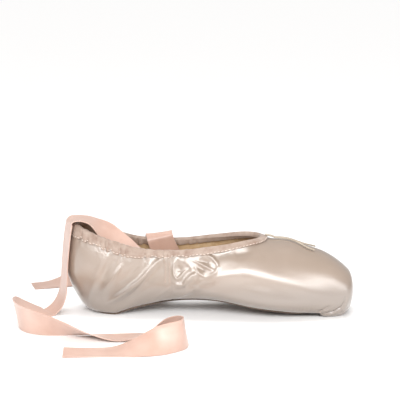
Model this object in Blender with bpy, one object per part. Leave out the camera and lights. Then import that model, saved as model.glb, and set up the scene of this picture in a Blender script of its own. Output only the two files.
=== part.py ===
"""Pointe shoe: sole, hollow satin upper with toe box, insole, collar binding, drawstring ends and ribbons.

Metres, +Z up, +X towards the toe. The shoe is symmetric about the XZ plane and stands on the floor at z = 0.
Lengths along the shoe are measured from the back of the heel, and moved to the middle of the shoe at the end.
"""

import math
from typing import NamedTuple

import bmesh
import bpy
from mathutils import Vector

for old in list(bpy.data.objects):
    bpy.data.objects.remove(old, do_unlink=True)

# The last
SHOE_LENGTH = 0.236
BALL_WIDTH = 0.077
HEEL_WIDTH = 0.054
HEEL_HEIGHT = 0.074
SIDE_HEIGHT = 0.054
INSTEP_HEIGHT = 0.0625
VAMP_LENGTH = 0.0745
TOE_HEIGHT = 0.034
TOE_WIDTH = 0.045
HEEL_CENTRE = 0.042
HEEL_BLEND = 1.2

# The collar opening
COLLAR_WIDTH = 0.050
COLLAR_SETBACK = 0.0066
COLLAR_WIDEST_AT = 0.100
THROAT_ROUNDNESS = 2.5

# The sole
SOLE_LENGTH = 0.767 * SHOE_LENGTH
SOLE_WIDTH = 0.050
SOLE_HEEL_WIDTH = 0.036
SOLE_SETBACK = 0.024
SOLE_THICKNESS = 0.002
SOLE_SKIVE = 0.0008
ARCH_RISE = 0.0112
SOLE_TIP_ROUNDNESS = 2.3
MARGIN_WIDTH = 0.007

# Walls and layers
QUARTER_WALL = 0.0018
BOX_WALL = 0.003
INSOLE_THICKNESS = 0.0012
INSOLE_LENGTH = 0.771 * SHOE_LENGTH
BINDING_WIDTH = 0.008
BINDING_INSIDE = 0.006
BINDING_THICKNESS = 0.0008
CLEARANCE = 0.0003
BINDING_CLEARANCE = 0.00045

# Ribbons and drawstring
RIBBON_WIDTH = 0.022
RIBBON_THICKNESS = 0.0008
DRAWSTRING_DIAMETER = 0.0014

# Mesh density
HEEL_STEPS = 9
THROAT_STEPS = 12
TURN_ROWS = 4
ARCH_ROWS = 9
FINE_STEPS = 24
ROUTE_STEPS = 4
LEG_STEPS = 8
THROAT_SPACING = 0.86
END_ANGLES = (12, 26, 42, 58, 74)

THROAT = SHOE_LENGTH - VAMP_LENGTH
SOLE_TIP = SOLE_SETBACK + SOLE_LENGTH
OPENING_TIP = SOLE_TIP - MARGIN_WIDTH
SOLE_BALL_AT = SOLE_SETBACK + 0.81 * SOLE_LENGTH
INSOLE_BACK = SOLE_SETBACK - 0.5 * MARGIN_WIDTH


class Section(NamedTuple):
    """The outside of the last at one place along the shoe."""

    at: float
    widest: float  # half width at the widest line
    spring: float  # height of the widest line
    crest: float  # height at which the arch over the foot closes
    flat: float  # half width of the flat underside
    turn: float  # roundness from underside to side: 1 is a bevel, 2 an ellipse
    arch: float  # roundness from side to crest


# The back seam, seen as a section whose half width runs from the heel centre to the back
BACK = Section(0.0, HEEL_CENTRE, 0.50 * HEEL_HEIGHT, 1.42 * HEEL_HEIGHT, 0.56 * HEEL_CENTRE, 1.40, 2.0)

# Half widths as shares of the named width, heights as shares of the named height
SECTION_SHARES = (
    # at, width, widest, flat, height, spring, crest, turn, arch
    (HEEL_CENTRE / SHOE_LENGTH, HEEL_WIDTH, 0.500, 0.380, SIDE_HEIGHT, 0.54, 1.500, 1.55, 2.0),
    (0.255, HEEL_WIDTH, 0.520, 0.350, SIDE_HEIGHT, 0.54, 1.470, 1.60, 2.0),
    (0.360, BALL_WIDTH, 0.375, 0.210, SIDE_HEIGHT, 0.53, 1.460, 1.70, 2.0),
    (0.458, BALL_WIDTH, 0.397, 0.200, SIDE_HEIGHT, 0.50, 1.430, 1.80, 2.0),
    (0.551, BALL_WIDTH, 0.443, 0.240, SIDE_HEIGHT, 0.43, 1.330, 1.90, 2.0),
    (0.636, BALL_WIDTH, 0.487, 0.310, INSTEP_HEIGHT, 0.33, 1.068, 2.00, 2.0),
    (0.712, BALL_WIDTH, 0.500, 0.345, INSTEP_HEIGHT, 0.29, 0.972, 2.00, 2.0),
    (0.784, BALL_WIDTH, 0.468, 0.340, INSTEP_HEIGHT, 0.28, 0.942, 2.00, 2.0),
    (0.850, TOE_WIDTH, 0.722, 0.520, TOE_HEIGHT, 0.50, 1.590, 2.00, 2.1),
    (0.900, TOE_WIDTH, 0.655, 0.470, TOE_HEIGHT, 0.50, 1.470, 2.00, 2.2),
    (0.940, TOE_WIDTH, 0.600, 0.420, TOE_HEIGHT, 0.50, 1.310, 2.00, 2.3),
    (0.968, TOE_WIDTH, 0.547, 0.340, TOE_HEIGHT, 0.51, 1.165, 2.00, 2.3),
    (0.984, TOE_WIDTH, 0.497, 0.260, TOE_HEIGHT, 0.53, 1.065, 2.00, 2.3),
    (0.994, TOE_WIDTH, 0.440, 0.200, TOE_HEIGHT, 0.56, 0.990, 2.00, 2.3),
    (1.000, TOE_WIDTH, 0.365, 0.150, TOE_HEIGHT, 0.60, 0.900, 2.00, 2.3),
)
SECTIONS = [
    Section(at * SHOE_LENGTH, widest * width, spring * height, crest * height, flat * width, turn, arch)
    for at, width, widest, flat, height, spring, crest, turn, arch in SECTION_SHARES
]

# Half width of the collar from the heel to its widest place
COLLAR = (
    # at, half width
    (HEEL_CENTRE, 0.426 * COLLAR_WIDTH),
    (0.242 * SHOE_LENGTH, 0.468 * COLLAR_WIDTH),
    (0.314 * SHOE_LENGTH, 0.488 * COLLAR_WIDTH),
    (COLLAR_WIDEST_AT, 0.500 * COLLAR_WIDTH),
)

# Height of the underside of the sole
SOLE_CURVE = (
    # at, height
    (0.000 * SHOE_LENGTH, 0.00 * ARCH_RISE),
    (0.178 * SHOE_LENGTH, 0.00 * ARCH_RISE),
    (0.202 * SHOE_LENGTH, 0.16 * ARCH_RISE),
    (0.242 * SHOE_LENGTH, 0.42 * ARCH_RISE),
    (0.305 * SHOE_LENGTH, 0.70 * ARCH_RISE),
    (0.360 * SHOE_LENGTH, 0.90 * ARCH_RISE),
    (0.445 * SHOE_LENGTH, 1.00 * ARCH_RISE),
    (0.534 * SHOE_LENGTH, 0.95 * ARCH_RISE),
    (0.581 * SHOE_LENGTH, 0.82 * ARCH_RISE),
    (0.655 * SHOE_LENGTH, 0.58 * ARCH_RISE),
    (0.729 * SHOE_LENGTH, 0.40 * ARCH_RISE),
    (0.805 * SHOE_LENGTH, 0.22 * ARCH_RISE),
    (0.870 * SHOE_LENGTH, 0.11 * ARCH_RISE),
    (1.000 * SHOE_LENGTH, 0.05 * ARCH_RISE),
)

# Half width of the sole from the heel to the ball
SOLE_OUTLINE = (
    # at, half width
    (HEEL_CENTRE, 0.50 * SOLE_HEEL_WIDTH),
    (0.235 * SHOE_LENGTH, 0.47 * SOLE_HEEL_WIDTH),
    (0.320 * SHOE_LENGTH, 0.29 * SOLE_WIDTH),
    (0.420 * SHOE_LENGTH, 0.25 * SOLE_WIDTH),
    (0.490 * SHOE_LENGTH, 0.27 * SOLE_WIDTH),
    (0.570 * SHOE_LENGTH, 0.345 * SOLE_WIDTH),
    (0.655 * SHOE_LENGTH, 0.45 * SOLE_WIDTH),
    (SOLE_BALL_AT, 0.50 * SOLE_WIDTH),
)

# Underside of the toe, past the tip of the sole: it touches the floor, then rounds up to the platform
TOE_UNDERSIDE = (
    # at, height
    (0.905 * SHOE_LENGTH, 0.000 * TOE_HEIGHT),
    (0.958 * SHOE_LENGTH, 0.000 * TOE_HEIGHT),
    (0.974 * SHOE_LENGTH, 0.045 * TOE_HEIGHT),
    (0.986 * SHOE_LENGTH, 0.130 * TOE_HEIGHT),
    (0.995 * SHOE_LENGTH, 0.230 * TOE_HEIGHT),
    (1.000 * SHOE_LENGTH, 0.350 * TOE_HEIGHT),
)
TOUCHES_AT, LEAVES_AT = TOE_UNDERSIDE[0][0], TOE_UNDERSIDE[1][0]

# Places along the shoe where the mesh has a section, beside the heel and the throat
SOLE_SHARES = (0.202, 0.242, 0.280, 0.320, 0.360, 0.445, 0.534, 0.581, 0.655, 0.729)
SOLE_STATIONS = [share * SHOE_LENGTH for share in SOLE_SHARES]
QUARTER_STATIONS = [share * SHOE_LENGTH for share in (0.212, 0.255, 0.310, 0.365)]
VAMP_STATIONS = [share * SHOE_LENGTH for share in (0.699, 0.725, 0.755, 0.784, 0.808, 0.826)]
TOE_STATIONS = [share * SHOE_LENGTH for share in (0.975, 0.986, 0.994, 0.9985, 1.0)]

# Routes of the ribbons, from the seam inside the quarter over the heel and along the floor.
# Each row: x, y, z, then the compass angle of the ribbon's width and how steeply its width rises, in degrees.
# A height of 0 lies on the floor.
RIBBON_NEAR = (
    (0.0940, -0.0240, 0.0345, 90, 84),
    (0.0820, -0.0236, 0.0355, 90, 84),
    (0.0700, -0.0216, 0.0390, 91, 79),
    (0.0580, -0.0175, 0.0455, 93, 71),
    (0.0460, -0.0116, 0.0557, 96, 59),
    (0.0340, -0.0070, 0.0680, 100, 40),
    (0.0235, -0.0054, 0.0752, 104, 14),
    (0.0150, -0.0052, 0.0778, 108, 4),
    (0.0080, -0.0051, 0.0775, 109, 0),
    (0.0043, -0.0052, 0.0752, 109, 0),
    (0.0030, -0.0054, 0.0700, 109, 0),
    (0.0017, -0.0056, 0.0615, 109, 0),
    (0.0003, -0.0058, 0.0485, 109, 0),
    (-0.0006, -0.0060, 0.0370, 109, 0),
    (-0.0014, -0.0064, 0.0250, 110, 0),
    (-0.0030, -0.0074, 0.0140, 112, 0),
    (-0.0075, -0.0105, 0.0052, 115, 0),
    (-0.0150, -0.0150, 0, 119, 4),
    (-0.0250, -0.0238, 0, 134, 28),
    (-0.0325, -0.0372, 0, 158, 60),
    (-0.0335, -0.0545, 0, 184, 78),
    (-0.0260, -0.0710, 0, 213, 80),
    (-0.0115, -0.0826, 0, 238, 70),
    (0.0075, -0.0880, 0, 258, 46),
    (0.0290, -0.0888, 0, 269, 18),
    (0.0500, -0.0868, 0, 274, 2),
    (0.0710, -0.0850, 0, 270, 14),
    (0.0895, -0.0880, 0, 250, 50),
    (0.1010, -0.0990, 0, 215, 76),
    (0.1000, -0.1135, 0, 160, 80),
    (0.0870, -0.1225, 0, 112, 62),
    (0.0690, -0.1240, 0, 94, 26),
    (0.0500, -0.1235, 0, 90, 3),
    (0.0310, -0.1245, 0, 92, 0),
    (0.0125, -0.1260, 0, 94, 2),
)

RIBBON_FAR = (
    (0.0880, 0.0244, 0.0300, 0, 24),
    (0.0850, 0.0243, 0.0370, 0, 24),
    (0.0818, 0.0214, 0.0440, 0, 23),
    (0.0788, 0.0196, 0.0510, 0, 20),
    (0.0770, 0.0190, 0.0570, 0, 14),
    (0.0758, 0.0236, 0.0602, 0, 8),
    (0.0752, 0.0280, 0.0578, 0, 6),
    (0.0746, 0.0294, 0.0510, 0, 6),
    (0.0738, 0.0301, 0.0420, 0, 5),
    (0.0730, 0.0306, 0.0310, 0, 4),
    (0.0722, 0.0314, 0.0200, 0, 3),
    (0.0714, 0.0334, 0.0110, 0, 2),
    (0.0706, 0.0382, 0.0042, 0, 2),
    (0.0705, 0.0480, 0, -3, 4),
    (0.0725, 0.0590, 0, -14, 16),
    (0.0785, 0.0695, 0, -36, 40),
    (0.0900, 0.0775, 0, -62, 60),
    (0.1060, 0.0805, 0, -84, 58),
    (0.1240, 0.0790, 0, -93, 34),
    (0.1430, 0.0778, 0, -88, 22),
    (0.1610, 0.0800, 0, -74, 50),
    (0.1745, 0.0885, 0, -34, 76),
    (0.1755, 0.1010, 0, 24, 78),
    (0.1640, 0.1100, 0, 66, 68),
    (0.1460, 0.1125, 0, 90, 36),
    (0.1260, 0.1115, 0, 95, 8),
    (0.1060, 0.1100, 0, 93, 0),
    (0.0860, 0.1095, 0, 88, 14),
    (0.0670, 0.1105, 0, 87, 44),
    (0.0480, 0.1100, 0, 98, 62),
    (0.0290, 0.1050, 0, 112, 62),
    (0.0115, 0.0965, 0, 118, 46),
    (-0.0055, 0.0875, 0, 115, 20),
    (-0.0230, 0.0800, 0, 110, 3),
    (-0.0400, 0.0745, 0, 106, 0),
)

# Routes of the drawstring's ends: out of the binding at the throat, then along the vamp. Shares of the vamp's
# length forwards from the throat and of the ball's width sideways; the height follows the vamp.
DRAWSTRING_LEFT = (
    (0.040, 0.010),
    (0.090, 0.022),
    (0.150, 0.045),
    (0.220, 0.080),
    (0.290, 0.120),
    (0.360, 0.150),
    (0.430, 0.165),
    (0.500, 0.160),
    (0.560, 0.140),
    (0.610, 0.110),
)
DRAWSTRING_RIGHT = (
    (0.040, -0.010),
    (0.100, -0.004),
    (0.170, 0.006),
    (0.240, 0.004),
    (0.310, -0.012),
    (0.370, -0.034),
    (0.420, -0.062),
    (0.465, -0.092),
    (0.520, -0.112),
    (0.585, -0.115),
)


def mix(a, b, share):
    return a + (b - a) * share


def ease(share):
    """0 to 1 with level ends."""
    share = min(max(share, 0.0), 1.0)
    return share * share * (3 - 2 * share)


def smooth(rows, column, at):
    """A column's value at a place, on a smooth curve through the rows. The first column is the place."""
    if at <= rows[0][0]:
        return rows[0][column]
    if at >= rows[-1][0]:
        return rows[-1][column]
    k = max(i for i in range(len(rows) - 1) if rows[i][0] <= at)

    def slope(i):
        low, high = max(i - 1, 0), min(i + 1, len(rows) - 1)
        return (rows[high][column] - rows[low][column]) / (rows[high][0] - rows[low][0])

    span = rows[k + 1][0] - rows[k][0]
    t = (at - rows[k][0]) / span
    start, end = rows[k][column], rows[k + 1][column]
    lead_in = slope(k) * span - (end - start)
    lead_out = slope(k + 1) * span - (end - start)
    return mix(start, end, t) + t * (1 - t) * ((1 - t) * lead_in - t * lead_out)


def rounded_end(half_width, full_at, tip, roundness, at):
    """Half width of an outline that narrows to nothing from full_at to tip."""
    share = min(max((at - full_at) / (tip - full_at), 0.0), 1.0)
    return half_width * (1 - share**roundness) ** (1 / roundness)


def sole_bottom(at):
    return max(smooth(SOLE_CURVE, 1, at), 0.0)


def sole_half_width(at):
    if at < HEEL_CENTRE:
        share = (HEEL_CENTRE - at) / (HEEL_CENTRE - SOLE_SETBACK)
        return 0.5 * SOLE_HEEL_WIDTH * math.sqrt(max(1 - share * share, 0.0))
    if at > SOLE_BALL_AT:
        return rounded_end(0.5 * SOLE_WIDTH, SOLE_BALL_AT, SOLE_TIP, SOLE_TIP_ROUNDNESS, at)
    return smooth(SOLE_OUTLINE, 1, at)


def opening_half_width(at):
    """Half width of the hole that the sole closes."""
    if at > SOLE_BALL_AT:
        half = 0.5 * SOLE_WIDTH - MARGIN_WIDTH
        return rounded_end(half, SOLE_BALL_AT, OPENING_TIP, SOLE_TIP_ROUNDNESS, at)
    return sole_half_width(at) - MARGIN_WIDTH


def underside(at):
    """Height of the upper's outside where it lies on the sole, and of the toe past it."""
    over_sole = sole_bottom(at) + SOLE_THICKNESS + CLEARANCE
    past_sole = max(smooth(TOE_UNDERSIDE, 1, at), 0.0)
    return mix(over_sole, past_sole, ease((at - SOLE_TIP) / (TOUCHES_AT - SOLE_TIP)))


def section(at):
    return Section(at, *(smooth(SECTIONS, column, at) for column in range(1, len(Section._fields))))


def collar_half_width(at):
    if at > COLLAR_WIDEST_AT:
        return rounded_end(0.5 * COLLAR_WIDTH, COLLAR_WIDEST_AT, THROAT, THROAT_ROUNDNESS, at)
    return smooth(COLLAR, 1, at)


def wall(at):
    """Thin at the quarters, stiff and thick in the toe box."""
    return mix(QUARTER_WALL, BOX_WALL, ease((at - THROAT) / (TOUCHES_AT - THROAT)))


def heel_share(angle):
    """How far a section round the heel is like the back seam: 1 at the back, 0 at the side."""
    return max(math.cos(angle), 0.0) ** HEEL_BLEND


def skin_height(x, y):
    """Height of the outside above its widest line at a place in plan."""
    side = section(max(x, HEEL_CENTRE))
    angle = math.pi / 2
    if x < HEEL_CENTRE:
        angle = math.atan2(abs(y) / side.widest, (HEEL_CENTRE - x) / BACK.widest)
        reach = math.hypot(abs(y) / side.widest, (HEEL_CENTRE - x) / BACK.widest)
    else:
        reach = abs(y) / side.widest
    back_share = heel_share(angle)
    spring = mix(side.spring, BACK.spring, back_share)
    crest = mix(side.crest, BACK.crest, back_share)
    return spring + (crest - spring) * (1 - min(reach, 1.0) ** side.arch) ** (1 / side.arch)


def spaced(points, count):
    """The points of a polyline at count equal steps along it."""
    lengths = [0.0]
    for a, b in zip(points, points[1:]):
        lengths.append(lengths[-1] + (b - a).length)
    found = []
    k = 0
    for step in range(count + 1):
        wanted = lengths[-1] * step / count
        while k < len(points) - 2 and lengths[k + 1] < wanted:
            k += 1
        part = lengths[k + 1] - lengths[k]
        share = (wanted - lengths[k]) / part if part > 0 else 0.0
        found.append(points[k].lerp(points[k + 1], min(max(share, 0.0), 1.0)))
    return found


class Station(NamedTuple):
    """A vertical cut through one half of the upper: across the shoe, or through the heel centre at an angle."""

    at: float
    angle: float


def stations():
    """From the back seam round the heel and along the shoe to the platform."""
    heel = [Station(HEEL_CENTRE, 0.5 * math.pi * k / HEEL_STEPS) for k in range(HEEL_STEPS + 1)]
    reach = THROAT - COLLAR_WIDEST_AT
    throat = [
        COLLAR_WIDEST_AT + reach * math.sin(0.5 * math.pi * (k / THROAT_STEPS) ** THROAT_SPACING)
        for k in range(THROAT_STEPS + 1)
    ]
    opening_tip = [mix(VAMP_STATIONS[-1], OPENING_TIP, share) for share in (0.55, 0.85, 1.0)]
    rest = [SOLE_TIP, mix(SOLE_TIP, TOUCHES_AT, 0.5), TOUCHES_AT, mix(TOUCHES_AT, LEAVES_AT, 0.5), LEAVES_AT]
    places = sorted(QUARTER_STATIONS + throat + VAMP_STATIONS + opening_tip + rest + TOE_STATIONS)
    return heel + [Station(at, 0.5 * math.pi) for at in places]


def outside(station):
    """The outside's points on one cut, from the edge of the sole opening up to the collar or the crest."""
    side = section(station.at)
    back = heel_share(station.angle)
    shared = ("spring", "crest", "turn", "arch")
    blend = {name: mix(getattr(side, name), getattr(BACK, name), back) for name in shared}
    low = underside(station.at if back < 1e-6 else HEEL_CENTRE)

    def point(reach_back, reach_side, height):
        return Vector(
            (station.at - reach_back * math.cos(station.angle), reach_side * math.sin(station.angle), height)
        )

    def turned(share):
        out = (1 - (1 - share) ** blend["turn"]) ** (1 / blend["turn"])
        return point(
            mix(BACK.flat, BACK.widest, out), mix(side.flat, side.widest, out), mix(low, blend["spring"], share)
        )

    def arched(reach):
        rise = (1 - reach ** blend["arch"]) ** (1 / blend["arch"])
        return point(reach * BACK.widest, reach * side.widest, mix(blend["spring"], blend["crest"], rise))

    hole_side = opening_half_width(station.at)
    hole_back = HEEL_CENTRE - SOLE_SETBACK - MARGIN_WIDTH
    collar_side = collar_half_width(station.at) / side.widest
    collar_back = (HEEL_CENTRE - COLLAR_SETBACK) / BACK.widest
    collar = mix(collar_side, collar_back, back)
    shares = [k / FINE_STEPS for k in range(FINE_STEPS + 1)]
    turn = spaced([turned(1 - math.cos(0.5 * math.pi * share)) for share in shares], TURN_ROWS)
    last = math.acos(min(collar, 1.0))
    arch = spaced([arched(math.cos(last * share)) for share in shares], ARCH_ROWS)
    return [point(hole_back, hole_side, low), *turn, *arch[1:]]


def inside(station, points):
    """The same points moved in by the wall's thickness, square to the cut."""
    thick = wall(station.at)
    across = Vector((-math.cos(station.angle), math.sin(station.angle), 0))
    moved = []
    for k, point in enumerate(points):
        along = points[min(k + 1, len(points) - 1)] - points[max(k - 1, 0)]
        if k == 0 or (k == len(points) - 1 and point.y < 1e-6 and station.at > HEEL_CENTRE):
            along = across if k == 0 else -across
        normal = Vector((along.z * across.x, along.z * across.y, -along.dot(across))).normalized()
        inner = point - normal * thick
        toe_share = max((station.at - TOUCHES_AT) / (SHOE_LENGTH - TOUCHES_AT), 0.0)
        inner.x -= thick * ease(toe_share)
        if point.y < 1e-6:
            inner.y = 0.0
        inner.y = max(inner.y, 0.0)
        moved.append(inner)
    return moved


def material(name, colour, roughness):
    """A plain Principled material."""
    made = bpy.data.materials.new(name)
    made.use_nodes = True
    shader = made.node_tree.nodes["Principled BSDF"]
    shader.inputs["Base Color"].default_value = (*colour, 1)
    shader.inputs["Roughness"].default_value = roughness
    return made


def finish(name, mesh_data, finish_material, smooth_angle=35):
    """Moves the finished mesh to the middle of the shoe and links it under its name."""
    bmesh.ops.remove_doubles(mesh_data, verts=mesh_data.verts, dist=1e-6)
    bmesh.ops.dissolve_degenerate(mesh_data, edges=mesh_data.edges, dist=1e-6)
    bmesh.ops.triangulate(mesh_data, faces=mesh_data.faces)
    bmesh.ops.recalc_face_normals(mesh_data, faces=mesh_data.faces)
    bmesh.ops.translate(mesh_data, verts=mesh_data.verts, vec=(-0.5 * SHOE_LENGTH, 0, 0))
    mesh = bpy.data.meshes.new(name)
    mesh_data.to_mesh(mesh)
    mesh_data.free()
    mesh.shade_smooth()
    mesh.set_sharp_from_angle(angle=math.radians(smooth_angle))
    mesh.materials.append(finish_material)
    made = bpy.data.objects.new(name, mesh)
    bpy.context.scene.collection.objects.link(made)
    return made


def add_grid(mesh_data, rows, closed_rows=False, closed_columns=False):
    """Faces between rows of points, each row as long as the others."""
    grid = [[mesh_data.verts.new(point) for point in row] for row in rows]
    height, width = len(grid), len(grid[0])
    for i in range(height if closed_rows else height - 1):
        for j in range(width if closed_columns else width - 1):
            corners = (
                grid[i][j],
                grid[(i + 1) % height][j],
                grid[(i + 1) % height][(j + 1) % width],
                grid[i][(j + 1) % width],
            )
            mesh_data.faces.new(corners)
    return grid


def mirrored(point):
    return Vector((point.x, -point.y, point.z))


def upper():
    """Outside and inside walls, joined round the collar, round the sole opening and closed at the platform."""
    cuts = stations()
    outer = [outside(station) for station in cuts]
    inner = [inside(station, points) for station, points in zip(cuts, outer)]
    mesh_data = bmesh.new()
    collar_cuts = [k for k, station in enumerate(cuts) if station.at <= THROAT + 1e-6]
    hole_cuts = [k for k, station in enumerate(cuts) if station.at <= OPENING_TIP + 1e-6]
    for half in (lambda point: point, mirrored):
        for wall_points in (outer, inner):
            add_grid(mesh_data, [[half(point) for point in points] for points in wall_points])
        for end, span in ((-1, collar_cuts), (0, hole_cuts)):
            edge = [[half(outer[k][end]), half(inner[k][end])] for k in span]
            add_grid(mesh_data, edge)
    for wall_points in (outer, inner):
        side = wall_points[-1]
        loop = side + [mirrored(point) for point in side[-2:0:-1]]
        mesh_data.faces.new([mesh_data.verts.new(point) for point in loop])
    return finish("upper", mesh_data, material("satin", (0.60, 0.48, 0.40), 0.35))


def plate(name, places, half_width, low, thickness, skive, finish_material):
    """A thin bent plate: bottom and top edge points at each place along the shoe, both sides."""
    mesh_data = bmesh.new()
    rings = []
    for at in places:
        half, height = half_width(at), low(at)
        narrow = max(half - skive, 0.0)
        rings.append(
            [
                Vector((at, -narrow, height)),
                Vector((at, -half, height + 0.5 * thickness)),
                Vector((at, -half, height + thickness)),
                Vector((at, half, height + thickness)),
                Vector((at, half, height + 0.5 * thickness)),
                Vector((at, narrow, height)),
            ]
        )
    grid = add_grid(mesh_data, rings, closed_columns=True)
    for ring in (grid[0], grid[-1]):
        mesh_data.faces.new(ring)
    return finish(name, mesh_data, finish_material)


def rounded_places(start, heel_full, ball, tip, middle):
    """Places along an outline with round ends, closer together at the ends."""
    angles = [math.radians(angle) for angle in END_ANGLES]
    heel = [heel_full - (heel_full - start) * math.cos(angle) for angle in angles]
    toe = [ball + (tip - ball) * math.sin(0.5 * math.pi - angle) for angle in reversed(angles)]
    return heel + [heel_full] + middle + [ball] + toe


def outsole():
    places = rounded_places(SOLE_SETBACK, HEEL_CENTRE, SOLE_BALL_AT, SOLE_TIP, SOLE_STATIONS)
    leather = material("sole_leather", (0.16, 0.11, 0.08), 0.6)
    return plate("outsole", places, sole_half_width, sole_bottom, SOLE_THICKNESS, SOLE_SKIVE, leather)


def insole_half_width(at):
    """A little narrower than the flat of the upper's inside, rounded at both ends."""
    side = section(max(at, HEEL_CENTRE))
    inside_flat = side.flat - wall(at) - CLEARANCE
    if at < HEEL_CENTRE:
        share = (HEEL_CENTRE - at) / (HEEL_CENTRE - INSOLE_BACK)
        return inside_flat * math.sqrt(max(1 - share * share, 0.0))
    tip = INSOLE_BACK + INSOLE_LENGTH
    return rounded_end(inside_flat, SOLE_BALL_AT, tip, SOLE_TIP_ROUNDNESS, at)


def insole_bottom(at):
    return underside(max(at, HEEL_CENTRE)) + wall(at) + CLEARANCE


def insole():
    places = rounded_places(INSOLE_BACK, HEEL_CENTRE, SOLE_BALL_AT, INSOLE_BACK + INSOLE_LENGTH, SOLE_STATIONS)
    lining = material("insole_board", (0.45, 0.33, 0.22), 0.8)
    return plate("insole", places, insole_half_width, insole_bottom, INSOLE_THICKNESS, 0.0, lining)


def collar_loop():
    """The collar's points in plan with the directions that lead away from the opening, once round."""
    near = [outside(station)[-1] for station in stations() if station.at <= THROAT + 1e-6]
    near = [Vector((point.x, point.y)) for point in near]
    half = [near[0]] + [b for a, b in zip(near, near[1:]) if (b - a).length > 1e-6]
    loop = half + [Vector((point.x, -point.y)) for point in half[-2:0:-1]]
    found = []
    for k, point in enumerate(loop):
        along = loop[(k + 1) % len(loop)] - loop[k - 1]
        away = Vector((-along.y, along.x)).normalized()
        found.append((point, away))
    return found


def binding_ring(point, away):
    """A U-shaped cross-section of the folded tape over the wall's edge."""
    fine = []
    step = 0.00004
    reach = 0.0
    length = 0.0
    while length < BINDING_WIDTH + 4 * step:
        place = point + away * reach
        fine.append(Vector((place.x, place.y, skin_height(place.x, place.y))))
        if len(fine) > 1:
            length += (fine[-1] - fine[-2]).length
        reach += step
    legs = spaced(fine, LEG_STEPS)
    outward = Vector((away.x, away.y, 0))

    def normal(k):
        along = legs[min(k + 1, LEG_STEPS)] - legs[max(k - 1, 0)]
        return Vector((-along.z * outward.x, -along.z * outward.y, along.dot(outward))).normalized()

    def off(k, distance, past=0.0):
        along = (legs[1] - legs[0]).normalized()
        return legs[k] + normal(k) * distance - along * past

    thick = wall(point.x)
    near, far = BINDING_CLEARANCE, BINDING_CLEARANCE + BINDING_THICKNESS
    inner_end = round(LEG_STEPS * BINDING_INSIDE / BINDING_WIDTH)
    edge = CLEARANCE + 0.5 * BINDING_THICKNESS
    return [
        off(LEG_STEPS, near),
        off(5, near),
        off(2, near),
        off(0, near, CLEARANCE),
        off(0, -thick - near, CLEARANCE),
        off(2, -thick - near),
        off(inner_end, -thick - near),
        off(inner_end, -thick - far),
        off(2, -thick - far),
        off(0, -thick - far, edge),
        off(0, -0.5 * thick, edge + 1.2 * BINDING_THICKNESS),
        off(0, far, edge),
        off(2, far),
        off(5, far),
        off(LEG_STEPS, far),
    ]


def binding():
    mesh_data = bmesh.new()
    rings = [binding_ring(point, away) for point, away in collar_loop()]
    add_grid(mesh_data, rings, closed_rows=True, closed_columns=True)
    return finish("binding", mesh_data, material("binding_tape", (0.66, 0.50, 0.42), 0.5))


def curve_through(rows, steps):
    """Rows of numbers on a smooth curve through the given rows, steps for each stretch."""
    found = []
    for k in range(len(rows) - 1):
        before, start, end, after = (rows[min(max(i, 0), len(rows) - 1)] for i in (k - 1, k, k + 1, k + 2))
        for step in range(steps + (k == len(rows) - 2)):
            t = step / steps
            found.append(
                [
                    0.5
                    * (
                        2 * b
                        + (c - a) * t
                        + (2 * a - 5 * b + 4 * c - d) * t * t
                        + (3 * b - a - 3 * c + d) * t * t * t
                    )
                    for a, b, c, d in zip(before, start, end, after)
                ]
            )
    return found


def ribbon_frames(route):
    """Centre, width direction and face direction along a ribbon. What lies on the floor rests on its edge."""
    half, thick = 0.5 * RIBBON_WIDTH, 0.5 * RIBBON_THICKNESS
    rows = []
    for x, y, z, compass, rise in curve_through(route, ROUTE_STEPS):
        compass, rise = math.radians(compass), math.radians(rise)
        width = Vector((math.cos(compass) * math.cos(rise), math.sin(compass) * math.cos(rise), math.sin(rise)))
        rows.append((Vector((x, y, max(z, half * abs(width.z)))), width))
    frames = []
    for k, (centre, width) in enumerate(rows):
        along = (rows[min(k + 1, len(rows) - 1)][0] - rows[max(k - 1, 0)][0]).normalized()
        across = (width - along * width.dot(along)).normalized()
        face = along.cross(across)
        rest = half * abs(across.z) + thick * abs(face.z) + CLEARANCE
        frames.append((Vector((centre.x, centre.y, max(centre.z, rest))), across, face))
    return frames


def ribbon(name, route, finish_material):
    """A flat strip swept along its route."""
    half, thick = 0.5 * RIBBON_WIDTH, 0.5 * RIBBON_THICKNESS
    rings = []
    for centre, across, face in ribbon_frames(route):
        ring = [
            centre + across * half + face * thick,
            centre - across * half + face * thick,
            centre - across * half - face * thick,
            centre + across * half - face * thick,
        ]
        rings.append(ring)
    mesh_data = bmesh.new()
    grid = add_grid(mesh_data, rings, closed_columns=True)
    for ring in (grid[0], grid[-1]):
        mesh_data.faces.new(ring)
    return finish(name, mesh_data, finish_material)


def drawstring(name, route, finish_material):
    """A thin cord that comes out of the binding at the throat and lies along the vamp."""
    curve = bpy.data.curves.new(name, "CURVE")
    curve.dimensions = "3D"
    curve.bevel_depth = 0.5 * DRAWSTRING_DIAMETER
    curve.bevel_resolution = 2
    curve.use_fill_caps = True
    line = curve.splines.new("POLY")
    rows = curve_through(route, ROUTE_STEPS)
    line.points.add(len(rows) - 1)
    over_binding = THROAT + BINDING_WIDTH
    for spot, (forward, sideways) in zip(line.points, rows):
        x, y = THROAT + forward * VAMP_LENGTH, sideways * BALL_WIDTH
        lift = 0.5 * DRAWSTRING_DIAMETER + 2 * CLEARANCE
        lift += (BINDING_THICKNESS + CLEARANCE) * (1 - ease((x - over_binding) / (0.5 * BINDING_WIDTH)))
        spot.co = (x - 0.5 * SHOE_LENGTH, y, skin_height(x, y) + lift, 1)
    curve.materials.append(finish_material)
    made = bpy.data.objects.new(name, curve)
    bpy.context.scene.collection.objects.link(made)
    return made


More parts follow.
